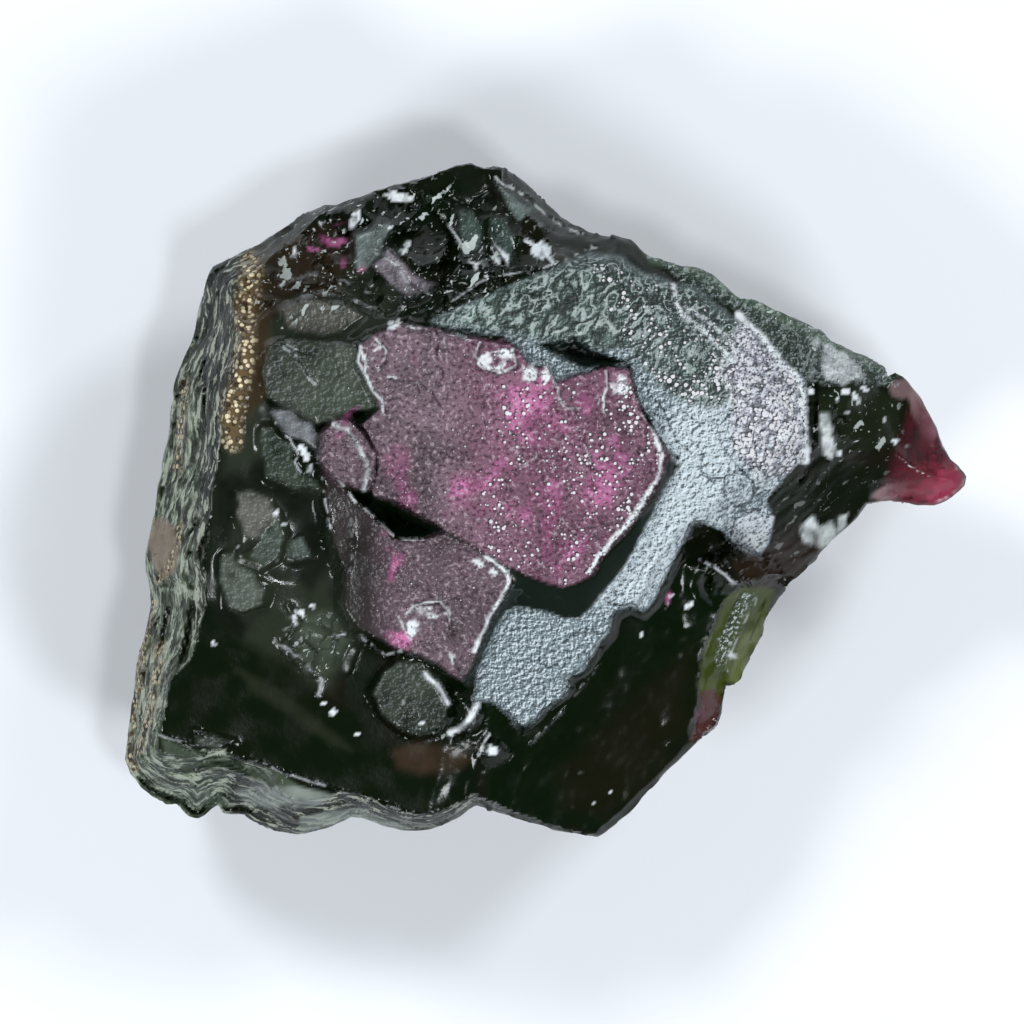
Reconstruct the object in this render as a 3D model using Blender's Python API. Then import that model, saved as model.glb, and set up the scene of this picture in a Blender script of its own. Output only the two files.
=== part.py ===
"""A rough painite crystal: a tabular piece of stone, lying on the flat break at its back with its broad face up.

The stone is one solid. Its broad face is a height over a plan, so it is modelled as a slab of fine grid, trimmed
to the stone's outline, whose upper vertices take the relief of plates, ledges and hollows and whose lower ones
take the undercut sides. A Decimate modifier then leaves triangles only where the relief turns, and a Boolean cuts
the flat break that the stone lies on.

Plan positions are columns and rows of the reference photograph, which looks straight down on the broad face.
Heights are in millimetres above the flat break. Both become metres in place_vertices.
"""

from collections import namedtuple

import bmesh
import bpy
import numpy as np

# Driving dimensions, in metres
LENGTH = 0.0126
MILLIMETRE = 0.001

# The stone's extent in the photograph, in pixels
FIRST_COLUMN, LAST_COLUMN = 123, 967
FIRST_ROW, LAST_ROW = 163, 838
MIDDLE_COLUMN = (FIRST_COLUMN + LAST_COLUMN) / 2
MIDDLE_ROW = (FIRST_ROW + LAST_ROW) / 2
PIXEL = LENGTH / (LAST_COLUMN - FIRST_COLUMN)

# The grid that the relief is read on, in pixels, and the triangles that stay
GRID_STEP = 4
TRIANGLES = 8800

# The upright wall where the upper and lower surfaces meet, and how far the slab reaches below the flat break
# before that is cut, in mm
WALL = 0.25
BELOW_BREAK = 0.4

# The block that cuts the flat break, in metres
BREAK_BLOCK = 0.02

# A stretch of the outline. rim is the height of the edge there, crest and face the height and the width in pixels of
# the side face above it, and undercut how far in, in pixels, the stone goes before it meets its flat break.
# Each is one value, or several spread evenly along the stretch.
Stretch = namedtuple("Stretch", "points rim crest face undercut")

OUTLINE = (
    # The top edge, a rough break
    Stretch(
        [(206, 280), (212, 266), (240, 253), (262, 243), (280, 230), (301, 216), (321, 206), (342, 201), (362, 196),
         (382, 189), (403, 183), (423, 178), (440, 171), (456, 165), (470, 163), (484, 168), (499, 166)],
        rim=(3.0, 3.5, 3.9, 4.0), crest=4.6, face=(26, 22, 16, 14), undercut=(70, 90, 100),
    ),
    # The thin bright chamfer at the upper right
    Stretch(
        [(512, 173), (525, 184), (540, 196), (554, 211), (566, 220), (580, 225), (590, 232), (605, 235)],
        rim=(3.6, 3.7, 4.1), crest=(4.0, 4.1, 4.5), face=14, undercut=100,
    ),
    # The rounded shoulder that falls towards the tip
    Stretch(
        [(620, 237), (630, 240), (640, 248), (650, 255), (660, 258), (680, 264), (692, 265), (704, 268), (712, 273),
         (722, 282), (731, 291), (740, 299), (755, 300), (770, 308), (785, 314), (800, 320), (815, 328), (825, 333),
         (832, 339), (845, 346), (853, 353), (865, 357), (878, 363), (886, 369)],
        rim=(4.4, 4.25, 4.1, 3.8, 3.5), crest=(4.9, 4.7, 4.6, 4.4, 4.0), face=(20, 34, 40, 40, 36), undercut=110,
    ),
    # The thin translucent tip
    Stretch(
        [(889, 377), (897, 373), (906, 378), (915, 388), (923, 399), (931, 413), (938, 429), (944, 447), (952, 458),
         (960, 466), (967, 477), (966, 486), (960, 491), (948, 499), (935, 504), (920, 504), (905, 501), (890, 499),
         (878, 500)],
        rim=(3.4, 3.3, 3.2, 3.1, 3.2), crest=3.7, face=(34, 44, 50, 44, 34), undercut=(220, 280, 300, 280, 220),
    ),
    # The broken neck under the tip
    Stretch(
        [(867, 503), (858, 515), (850, 525), (841, 534), (831, 543), (823, 553), (815, 562), (804, 572), (792, 582)],
        rim=(3.3, 3.2, 2.9), crest=3.9, face=(44, 50, 46), undercut=(180, 140),
    ),
    # The thin green splinter
    Stretch(
        [(781, 594), (771, 612), (764, 625), (764, 637), (756, 650), (748, 665), (742, 680), (735, 686), (727, 687),
         (724, 700), (721, 715), (717, 726), (706, 735)],
        rim=(2.4, 2.3, 2.4, 2.6), crest=2.9, face=(30, 40, 22), undercut=(110, 100),
    ),
    # The straight edge of the dark facet
    Stretch(
        [(698, 742), (680, 760), (660, 781), (640, 801), (620, 821), (607, 832)],
        rim=3.0, crest=3.2, face=5, undercut=88,
    ),
    # The lower edge of the dark facet
    Stretch(
        [(598, 838), (580, 836), (560, 831), (540, 825), (520, 820), (500, 814)],
        rim=(3.15, 3.5, 3.6), crest=(3.45, 3.85, 4.0), face=(4, 6), undercut=(90, 80),
    ),
    # The streaked lower face
    Stretch(
        [(476, 807), (467, 813), (457, 820), (443, 826), (430, 830), (415, 831), (400, 830), (380, 826), (362, 820),
         (350, 819), (338, 824), (325, 829), (310, 833), (295, 835), (285, 834), (272, 830), (260, 826), (250, 821),
         (243, 816), (230, 816), (221, 815), (216, 807), (210, 810), (203, 816), (195, 820), (186, 816), (178, 806),
         (165, 804), (150, 797), (139, 789), (128, 775)],
        rim=(2.6, 2.6, 2.5, 2.5, 2.5), crest=(4.3, 4.4, 4.6, 4.6, 4.6),
        face=(10, 14, 20, 27, 46, 58, 60, 62, 48), undercut=(80, 72, 66),
    ),
    # The striated left face
    Stretch(
        [(123, 760), (124, 745), (127, 730), (130, 710), (132, 690), (133, 672), (136, 655), (142, 640), (146, 622),
         (150, 604), (149, 590), (145, 572), (144, 555), (147, 540), (151, 524), (155, 502), (159, 480), (164, 458),
         (168, 432), (170, 405), (172, 386), (177, 369), (186, 349), (193, 330), (197, 313), (200, 300)],
        rim=(2.5, 2.6, 2.7, 2.8, 2.8), crest=(4.6, 4.8, 5.0, 5.0, 4.7),
        face=(30, 32, 46, 54, 60, 60, 58, 52, 46, 40), undercut=(66, 60, 74),
    ),
)

# Flat growth plates that stand on the broad face: outline, then three points (column, row, height) of the top
LEFT_PLATE = [
    (268, 346), (288, 341), (322, 344), (355, 345), (361, 366), (371, 386), (381, 408), (352, 411), (336, 420),
    (318, 424), (300, 415), (283, 408), (268, 396), (262, 372),
]
ROSE_PLATE = [
    (359, 346), (372, 337), (400, 326), (420, 326), (445, 331), (466, 338), (484, 337), (503, 338), (518, 352),
    (530, 366), (545, 370), (556, 384), (580, 376), (606, 368), (628, 370), (634, 394), (642, 412), (657, 437),
    (670, 455), (665, 473), (655, 494), (641, 514), (623, 537), (604, 557), (595, 573), (581, 581), (563, 587),
    (545, 582), (524, 573), (503, 563), (480, 549), (458, 536), (440, 528), (418, 517), (398, 505), (374, 500),
    (370, 470), (374, 446), (362, 424), (381, 409), (371, 386), (361, 366),
]
LENS_PLATE = [
    (320, 435), (333, 422), (349, 419), (363, 433), (376, 454), (375, 474), (369, 492), (351, 487), (331, 475),
    (320, 460),
]
LOWER_PLATE = [
    (324, 478), (345, 488), (364, 506), (380, 526), (392, 540), (420, 539), (441, 533), (463, 543), (484, 555),
    (504, 567), (512, 582), (504, 597), (494, 614), (484, 635), (478, 652), (473, 666), (463, 680), (450, 674),
    (438, 663), (412, 652), (392, 645), (362, 630), (346, 612), (345, 572), (334, 540), (327, 508),
]
ROUND_PLATE = [
    (373, 694), (383, 673), (401, 661), (421, 664), (438, 680), (449, 700), (447, 716), (436, 729), (418, 735),
    (398, 727), (383, 714),
]

# The frosted layer under the plates ends at this broken line, and the dark facet lies below it
DARK_FACET = [
    (735, 546), (719, 531), (700, 523), (690, 526), (684, 544), (674, 562), (666, 580), (656, 601), (644, 614),
    (630, 608), (616, 614), (611, 634), (599, 649), (590, 664), (583, 674), (569, 680), (572, 691), (556, 704),
    (541, 718), (524, 735), (507, 718), (496, 706), (480, 702), (474, 730), (470, 770), (464, 815), (470, 860),
    (620, 860), (730, 740), (712, 690), (718, 640), (742, 592), (792, 590), (776, 560),
]
SPLINTER = [
    (742, 588), (724, 606), (716, 626), (708, 646), (703, 667), (701, 692), (700, 738), (700, 760), (810, 760),
    (810, 575), (768, 582),
]
TIP_BODY = [
    (752, 290), (772, 318), (797, 341), (806, 362), (809, 392), (807, 460), (795, 468), (779, 486), (768, 500),
    (776, 518), (770, 545), (756, 557), (736, 548), (742, 575), (764, 585), (820, 610), (1010, 560), (1010, 330),
    (860, 290),
]

# Deep gaps between the layers
GASH = [(351, 490), (377, 498), (402, 506), (428, 521), (443, 532), (422, 539), (402, 537), (389, 528), (370, 509)]
WEDGE = [(536, 346), (556, 343), (574, 339), (592, 350), (624, 363), (604, 368), (580, 366), (556, 354)]
CRACK = [(426, 322), (442, 326), (468, 330), (496, 336), (516, 345), (498, 342), (470, 336), (444, 331)]

# Shell-shaped breaks: column, row, half width, half height, turn in degrees, depth in mm
BREAKS = (
    (470, 196, 62, 30, -10, 0.34), (436, 232, 34, 44, 10, 0.36), (473, 238, 17, 42, 4, 0.30),
    (503, 236, 20, 44, -4, 0.32), (538, 236, 30, 34, -24, 0.34), (398, 206, 36, 24, -12, 0.26),
    (332, 232, 42, 24, -20, 0.30), (300, 262, 44, 22, -14, 0.26), (344, 276, 40, 15, -12, 0.24),
    (404, 282, 36, 22, 24, 0.18), (302, 292, 52, 13, -6, 0.22), (362, 306, 46, 12, 4, 0.20),
    (248, 300, 16, 36, 8, 0.14), (540, 286, 52, 16, -18, 0.12), (470, 288, 40, 12, -16, 0.14),
    (300, 530, 34, 60, -10, 0.08), (712, 548, 26, 20, 20, 0.34),
    (846, 412, 24, 28, 10, 0.20), (860, 468, 40, 22, 12, 0.24), (906, 462, 30, 20, 20, 0.14),
    (818, 500, 44, 24, -24, 0.22), (780, 560, 26, 18, -30, 0.20), (790, 350, 26, 18, 40, 0.16),
    (716, 590, 24, 16, -30, 0.14), (738, 660, 12, 40, -24, 0.16), (906, 408, 16, 26, 20, 0.12),
)

# Smooth swellings and small facets that stand out: column, row, half width, half height, turn, height in mm
SWELLINGS = (
    (256, 516, 28, 24, 10, 0.22), (268, 560, 20, 30, -10, 0.18), (244, 590, 26, 22, 20, 0.16),
    (300, 548, 14, 16, 0, 0.14), (372, 246, 20, 18, 30, 0.24), (408, 272, 34, 18, -30, 0.20),
    (318, 320, 44, 16, -4, 0.20), (740, 488, 18, 20, 20, 0.14), (756, 530, 24, 24, 0, 0.20),
    (768, 474, 26, 12, -20, 0.12), (724, 516, 14, 12, 0, 0.10), (846, 364, 24, 20, 10, 0.26),
    (828, 440, 10, 24, -8, 0.22), (812, 534, 14, 18, 20, 0.20), (836, 528, 16, 12, 40, 0.16),
    (492, 752, 14, 12, 0, 0.22), (158, 548, 14, 30, 10, 0.30), (316, 640, 36, 22, -20, 0.14),
    (306, 440, 26, 12, -40, 0.16), (462, 700, 16, 12, 30, 0.12),
)

# Shell-shaped breaks in the underside, in the same form as BREAKS
UNDERSIDE_BREAKS = (
    (470, 240, 120, 60, 10, 0.9), (330, 270, 90, 60, -20, 0.8), (640, 300, 110, 70, 25, 1.0),
    (780, 380, 110, 60, 20, 0.6), (700, 620, 90, 70, -50, 0.8), (560, 790, 90, 50, 10, 0.9),
    (380, 790, 80, 40, 5, 0.6), (210, 760, 70, 50, 30, 0.4), (190, 470, 40, 120, 0, 0.5),
    (620, 720, 60, 80, -45, 0.7), (880, 470, 70, 30, 10, 0.25),
)

# Uneven ground: the size of its waves in pixels and their height in mm
WAVES = ((150, 0.10), (62, 0.05), (26, 0.022))
UNDERSIDE_WAVES = ((150, 0.50), (58, 0.24), (22, 0.07))

# How much higher, in mm, the side face reaches beside the dark facet, which runs out almost to its edge
FACET_RISE = 1.5

# Ledges that run along the side faces: waves that are this many times shorter across them
LEDGE_STRETCH = 10
LEDGE_WAVES = ((120, 0.22), (50, 0.08))


def smooth(t):
    """Rises from 0 to 1 with level ends."""
    t = np.clip(t, 0, 1)
    return t * t * (3 - 2 * t)


def uneven(x, y, waves, seed):
    """The sum of random waves, each a lattice of random values joined smoothly."""
    total = np.zeros_like(x)
    for turn, (size, height) in enumerate(waves):
        lattice = np.random.default_rng(seed + turn).uniform(-1, 1, (64, 64))
        u, v = x / size, y / size
        i, j = np.floor(u).astype(int), np.floor(v).astype(int)
        s, t = smooth(u - i), smooth(v - j)
        near = lattice[i % 64, j % 64] * (1 - s) + lattice[(i + 1) % 64, j % 64] * s
        far = lattice[i % 64, (j + 1) % 64] * (1 - s) + lattice[(i + 1) % 64, (j + 1) % 64] * s
        total += height * (near * (1 - t) + far * t)
    return total


def distance(points, x, y):
    """How far (x, y) is from a closed outline, in pixels: above 0 inside it and below 0 outside."""
    least = np.full(x.shape, np.inf)
    inside = np.zeros(x.shape, bool)
    for (ax, ay), (bx, by) in zip(points, points[1:] + points[:1]):
        ex, ey = bx - ax, by - ay
        along = np.clip(((x - ax) * ex + (y - ay) * ey) / (ex * ex + ey * ey), 0, 1)
        least = np.minimum(least, np.hypot(x - ax - along * ex, y - ay - along * ey))
        crosses = (ay > y) != (by > y)
        inside ^= crosses & (x < ax + (y - ay) * ex / (ey if ey else 1))
    return np.where(inside, least, -least)


def plane(*corners):
    """A flat face through three points (column, row, height), as a function of the plan."""
    a, b, c = np.linalg.solve([(*corner[:2], 1) for corner in corners], [corner[2] for corner in corners])
    return lambda x, y: a * x + b * y + c


FROSTED_LAYER = plane((450, 310, 5.30), (690, 530, 4.82), (800, 420, 4.82))
BLACK_SLOPE = plane((300, 330, 5.36), (480, 740, 4.72), (200, 600, 4.86))
TOP_SLOPE = plane((262, 345, 5.22), (620, 256, 5.16), (480, 163, 3.95))
ROSE_TOP = plane((350, 400, 5.66), (650, 380, 5.26), (560, 580, 5.34))
LEFT_TOP = plane((270, 350, 5.52), (370, 350, 5.58), (300, 410, 5.46))
LENS_TOP = plane((325, 450, 5.56), (370, 450, 5.66), (350, 490, 5.52))
LOWER_TOP = plane((340, 500, 5.34), (500, 580, 5.26), (450, 670, 5.16))
ROUND_TOP = plane((380, 690, 4.98), (440, 690, 5.02), (415, 735, 4.90))
FACET_TOP = plane((525, 740, 4.30), (690, 530, 4.36), (650, 790, 3.12))
SPLINTER_TOP = plane((735, 590, 3.20), (700, 730, 2.70), (765, 630, 2.50))
TIP_TOP = plane((815, 420, 4.42), (900, 440, 3.98), (860, 510, 3.96))


def outline_points():
    return [point for stretch in OUTLINE for point in stretch.points]


def edge_values(x, y):
    """(rim, crest, face, undercut) of the outline near (x, y), each a smooth mean of the outline's own values."""
    rows = []
    for stretch in OUTLINE:
        share = np.linspace(0, 1, len(stretch.points))
        columns = []
        for value in stretch[1:]:
            value = np.atleast_1d(value)
            columns.append(np.interp(share, np.linspace(0, 1, len(value)), value))
        rows.append(np.stack(columns, axis=1))
    values = np.concatenate(rows)
    total, weights = np.zeros((4,) + x.shape), np.zeros(x.shape)
    for (px, py), own in zip(outline_points(), values):
        weight = 1 / ((x - px) ** 2 + (y - py) ** 2 + 4) ** 2
        weights += weight
        total += own.reshape((4,) + (1,) * x.ndim) * weight
    return total / weights


def step_to(height, x, y, outline, top, cliff):
    """Brings the height to that of the face top inside an outline, over a cliff of that width outside it."""
    share = np.clip(1 + distance(outline, x, y) / cliff, 0, 1)
    return height + (top(x, y) - height) * share


def ovals(x, y, rows):
    """For each oval, its height and 1 at its middle falling to 0 at its rim."""
    for column, row, half_width, half_height, turn, height in rows:
        c, s = np.cos(np.radians(turn)), np.sin(np.radians(turn))
        dx, dy = x - column, row - y
        u, v = (dx * c + dy * s) / half_width, (dy * c - dx * s) / half_height
        yield height, np.clip(1 - u * u - v * v, 0, 1)


def broad_face(x, y):
    """The height of the stone's broad face, in mm, without its side faces."""
    wander = ((40, 3.0), (14, 1.6))
    x, y = x + uneven(x, y, wander, seed=11), y + uneven(x, y, wander, seed=17)
    height = np.minimum(FROSTED_LAYER(x, y), BLACK_SLOPE(x, y))
    height = np.minimum(height, TOP_SLOPE(x, y))
    height = step_to(height, x, y, TIP_BODY, TIP_TOP, cliff=7)
    height = step_to(height, x, y, DARK_FACET, FACET_TOP, cliff=6)
    height = step_to(height, x, y, SPLINTER, SPLINTER_TOP, cliff=5)
    height += uneven(x, y, WAVES, seed=3)
    height -= np.max([depth * share for depth, share in ovals(x, y, BREAKS)], axis=0)
    height += np.max([rise * np.sqrt(share) for rise, share in ovals(x, y, SWELLINGS)], axis=0)
    height = step_to(height, x, y, ROUND_PLATE, ROUND_TOP, cliff=7)
    height = step_to(height, x, y, LEFT_PLATE, LEFT_TOP, cliff=6)
    height = step_to(height, x, y, LOWER_PLATE, LOWER_TOP, cliff=12)
    height = step_to(height, x, y, LENS_PLATE, LENS_TOP, cliff=5)
    rose_cliff = 8 + 26 * smooth((y - 490) / 70)
    height = step_to(height, x, y, ROSE_PLATE, ROSE_TOP, rose_cliff)
    for gap, depth in ((GASH, 0.55), (WEDGE, 0.50), (CRACK, 0.35)):
        height -= depth * smooth(distance(gap, x, y) / 5 + 0.5)
    return height


def upper_surface(x, y):
    """The height of everything that shows from above, in mm."""
    rim, crest, face, _ = edge_values(x, y)
    inward = np.maximum(distance(outline_points(), x, y), 0)
    ripple = uneven(inward * LEDGE_STRETCH, x - y, LEDGE_WAVES, seed=29)
    side = rim + (crest - rim) * inward / face + ripple * smooth(inward / 6)
    open_facet = smooth(distance(DARK_FACET, x, y) / 6) * smooth(-distance(SPLINTER, x, y) / 6)
    side += FACET_RISE * open_facet * smooth((inward - 6) / 12)
    return np.maximum(np.minimum(broad_face(x, y), side), rim)


def lower_surface(x, y):
    """The height of the stone's underside, in mm: undercut sides that pass below 0, where the flat break is."""
    rim, _, _, undercut = edge_values(x, y)
    inward = np.maximum(distance(outline_points(), x, y), 0)
    slope = (rim - WALL) * (1 - inward / undercut)
    slope += np.max([depth * share for depth, share in ovals(x, y, UNDERSIDE_BREAKS)], axis=0) * smooth(inward / 30)
    slope += uneven(x, y, UNDERSIDE_WAVES, seed=41) * smooth(inward / 30)
    return np.clip(slope, -BELOW_BREAK, rim - WALL)


def trimmed_grid():
    """A level grid over the plan, in pixels, cut back to the outline, with its edge moved onto the outline."""
    margin = 2 * GRID_STEP
    wide, high = LAST_COLUMN - FIRST_COLUMN + 2 * margin, LAST_ROW - FIRST_ROW + 2 * margin
    grid = bmesh.new()
    bmesh.ops.create_grid(grid, x_segments=wide // GRID_STEP, y_segments=high // GRID_STEP, size=0.5)
    bmesh.ops.scale(grid, vec=(wide, high, 1), verts=grid.verts)
    bmesh.ops.translate(grid, vec=(MIDDLE_COLUMN, MIDDLE_ROW, 0), verts=grid.verts)
    middles = np.array([face.calc_center_median()[:2] for face in grid.faces])
    outside = distance(outline_points(), *middles.T) < 0
    spare = [face for face, out in zip(grid.faces, outside) if out]
    bmesh.ops.delete(grid, geom=spare, context="FACES")
    snap_to_lines(grid)
    return grid


def snap_to_lines(grid):
    """Moves the grid's edge onto the outline, and rows near a plate's edge onto that edge, so that both are crisp."""
    edge = [vertex for vertex in grid.verts if vertex.is_boundary]
    move_onto(edge, outline_points(), reach=2 * GRID_STEP)
    inner = [vertex for vertex in grid.verts if not vertex.is_boundary]
    for plate in (ROSE_PLATE, LOWER_PLATE, LEFT_PLATE, ROUND_PLATE, DARK_FACET):
        move_onto(inner, plate, reach=0.45 * GRID_STEP)


def move_onto(vertices, outline, reach):
    """Moves the vertices within reach of an outline to the nearest point on it."""
    x, y = np.array([vertex.co[:2] for vertex in vertices]).T
    nearest, place = np.full(x.shape, np.inf), np.zeros((2,) + x.shape)
    for (ax, ay), (bx, by) in zip(outline, outline[1:] + outline[:1]):
        ex, ey = bx - ax, by - ay
        along = np.clip(((x - ax) * ex + (y - ay) * ey) / (ex * ex + ey * ey), 0, 1)
        found = np.array([ax + along * ex, ay + along * ey])
        gap = np.hypot(x - found[0], y - found[1])
        place = np.where(gap < nearest, found, place)
        nearest = np.minimum(nearest, gap)
    for vertex, gap, column, row in zip(vertices, nearest, *place):
        if gap < reach:
            vertex.co.x, vertex.co.y = column, row


def place_vertices(mesh):
    """Gives the vertices their heights and turns the photograph's columns and rows into metres."""
    places = np.empty(len(mesh.vertices) * 3)
    mesh.vertices.foreach_get("co", places)
    columns, rows, levels = places.reshape(-1, 3).T
    heights = np.where(levels < 0, lower_surface(columns, rows), upper_surface(columns, rows))
    made = np.stack(
        [(columns - MIDDLE_COLUMN) * PIXEL, (MIDDLE_ROW - rows) * PIXEL, heights * MILLIMETRE], axis=1
    )
    mesh.vertices.foreach_set("co", made.ravel())


def make_slab():
    """The closed mesh of the stone: the upper grid, a copy of it below, and a wall between their edges."""
    grid = trimmed_grid()
    copied = bmesh.ops.extrude_face_region(grid, geom=list(grid.faces), use_keep_orig=True)["geom"]
    lower = [thing for thing in copied if isinstance(thing, bmesh.types.BMVert)]
    bmesh.ops.translate(grid, vec=(0, 0, -1), verts=lower)
    mesh = bpy.data.meshes.new("crystal")
    grid.to_mesh(mesh)
    grid.free()
    place_vertices(mesh)
    return mesh


def face_outwards(mesh):
    solid = bmesh.new()
    solid.from_mesh(mesh)
    bmesh.ops.recalc_face_normals(solid, faces=solid.faces)
    if solid.calc_volume(signed=True) < 0:
        bmesh.ops.reverse_faces(solid, faces=solid.faces)
    bmesh.ops.triangulate(solid, faces=solid.faces)
    solid.to_mesh(mesh)
    solid.free()


def painite_material():
    material = bpy.data.materials.new("painite")
    material.use_nodes = True
    shader = material.node_tree.nodes["Principled BSDF"]
    shader.inputs["Base Color"].default_value = (0.055, 0.028, 0.036, 1)
    shader.inputs["Roughness"].default_value = 0.28
    shader.inputs["Metallic"].default_value = 0.0
    shader.inputs["IOR"].default_value = 1.80
    return material


def clear_scene():
    for thing in list(bpy.data.objects):
        bpy.data.objects.remove(thing)


def add_object(name, mesh, collection):
    made = bpy.data.objects.new(name, mesh)
    collection.objects.link(made)
    return made


def make_break_block(collection):
    """The cutter: a block whose upper side is the flat break."""
    cube = bmesh.new()
    bmesh.ops.create_cube(cube, size=BREAK_BLOCK)
    bmesh.ops.translate(cube, vec=(0, 0, -BREAK_BLOCK / 2), verts=cube.verts)
    mesh = bpy.data.meshes.new("flat break")
    cube.to_mesh(mesh)
    cube.free()
    block = add_object("flat break", mesh, collection)
    block.display_type = "WIRE"
    block.hide_render = True
    return block


def main():
    clear_scene()
    stone, cutters = (bpy.data.collections.new(name) for name in ("painite crystal", "cutters"))
    bpy.context.scene.collection.children.link(stone)
    bpy.context.scene.collection.children.link(cutters)
    mesh = make_slab()
    face_outwards(mesh)
    mesh.materials.append(painite_material())
    mesh.shade_smooth()
    mesh.set_sharp_from_angle(angle=np.radians(24))
    crystal = add_object("crystal", mesh, stone)
    fewer = crystal.modifiers.new("fewer triangles", "DECIMATE")
    fewer.decimate_type = "COLLAPSE"
    fewer.ratio = TRIANGLES / len(mesh.polygons)
    flat = crystal.modifiers.new("flat break", "BOOLEAN")
    flat.operation = "DIFFERENCE"
    flat.object = make_break_block(cutters)


main()
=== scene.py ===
"""A rough painite crystal on a plain pale floor, seen from straight above its broad face.

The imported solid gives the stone's size and place. The dressed stone is the same form on a finer grid: the
same outline, side faces and growth plates, with the small things added that the solid leaves out: broken
shards, bright rims, cracks, ripples, crumbs and grains. Places are columns and rows of the reference
photograph, heights are in millimetres, and place_vertices turns both into metres. Colours that belong to a
place are painted on the vertices, and the material adds everything finer than the grid.
"""

from collections import namedtuple

import bmesh
import bpy
import numpy as np
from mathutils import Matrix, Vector, noise


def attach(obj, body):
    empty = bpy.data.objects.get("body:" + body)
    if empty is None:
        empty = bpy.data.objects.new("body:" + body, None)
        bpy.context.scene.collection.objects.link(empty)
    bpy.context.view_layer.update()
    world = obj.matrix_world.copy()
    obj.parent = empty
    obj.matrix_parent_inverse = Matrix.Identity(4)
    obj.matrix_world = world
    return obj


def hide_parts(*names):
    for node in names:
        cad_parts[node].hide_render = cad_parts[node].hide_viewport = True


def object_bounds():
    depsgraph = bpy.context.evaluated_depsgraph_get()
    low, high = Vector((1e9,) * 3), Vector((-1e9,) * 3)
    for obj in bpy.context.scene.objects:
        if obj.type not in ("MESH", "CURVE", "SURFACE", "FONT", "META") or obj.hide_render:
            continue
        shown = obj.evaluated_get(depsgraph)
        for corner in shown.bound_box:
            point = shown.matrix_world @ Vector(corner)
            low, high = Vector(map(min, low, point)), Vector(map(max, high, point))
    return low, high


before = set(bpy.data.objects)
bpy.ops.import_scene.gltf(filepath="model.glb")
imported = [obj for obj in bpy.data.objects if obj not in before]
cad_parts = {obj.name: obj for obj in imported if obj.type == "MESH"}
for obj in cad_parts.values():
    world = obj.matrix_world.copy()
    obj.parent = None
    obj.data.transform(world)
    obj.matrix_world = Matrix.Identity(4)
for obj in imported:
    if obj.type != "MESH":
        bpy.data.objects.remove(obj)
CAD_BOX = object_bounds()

# The stone's extent in the photograph, in pixels, and the photograph's own size
FIRST_COLUMN, LAST_COLUMN = 123, 967
FIRST_ROW, LAST_ROW = 163, 838
MIDDLE_COLUMN = (FIRST_COLUMN + LAST_COLUMN) / 2
MIDDLE_ROW = (FIRST_ROW + LAST_ROW) / 2
PHOTO_SIDE = 1024

# Lengths in metres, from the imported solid
PIXEL = (CAD_BOX[1][0] - CAD_BOX[0][0]) / (LAST_COLUMN - FIRST_COLUMN)
MILLIMETRE = 0.001

# The fine grid and how far beside a drawn line it is finer still, in pixels, the triangles left on the
# underside, and the longest edge that stays whole, in mm
GRID_STEP = 2.8
FINE_REACH = 3
UNDERSIDE_TRIANGLES = 14000
LONGEST_EDGE = 0.14

# Edges that reach below this height, in metres, stay whole
LOWEST_SPLIT = 0.0002

# How thick the stone is along its rim, in mm
WALL = 0.25

# A stretch of the outline. rim is the height of the edge there, crest and face the height and the width in
# pixels of the side face above it, and undercut how far in, in pixels, the stone goes before it meets its
# flat break. Each is one value, or several spread evenly along the stretch.
Stretch = namedtuple("Stretch", "points rim crest face undercut")

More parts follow.
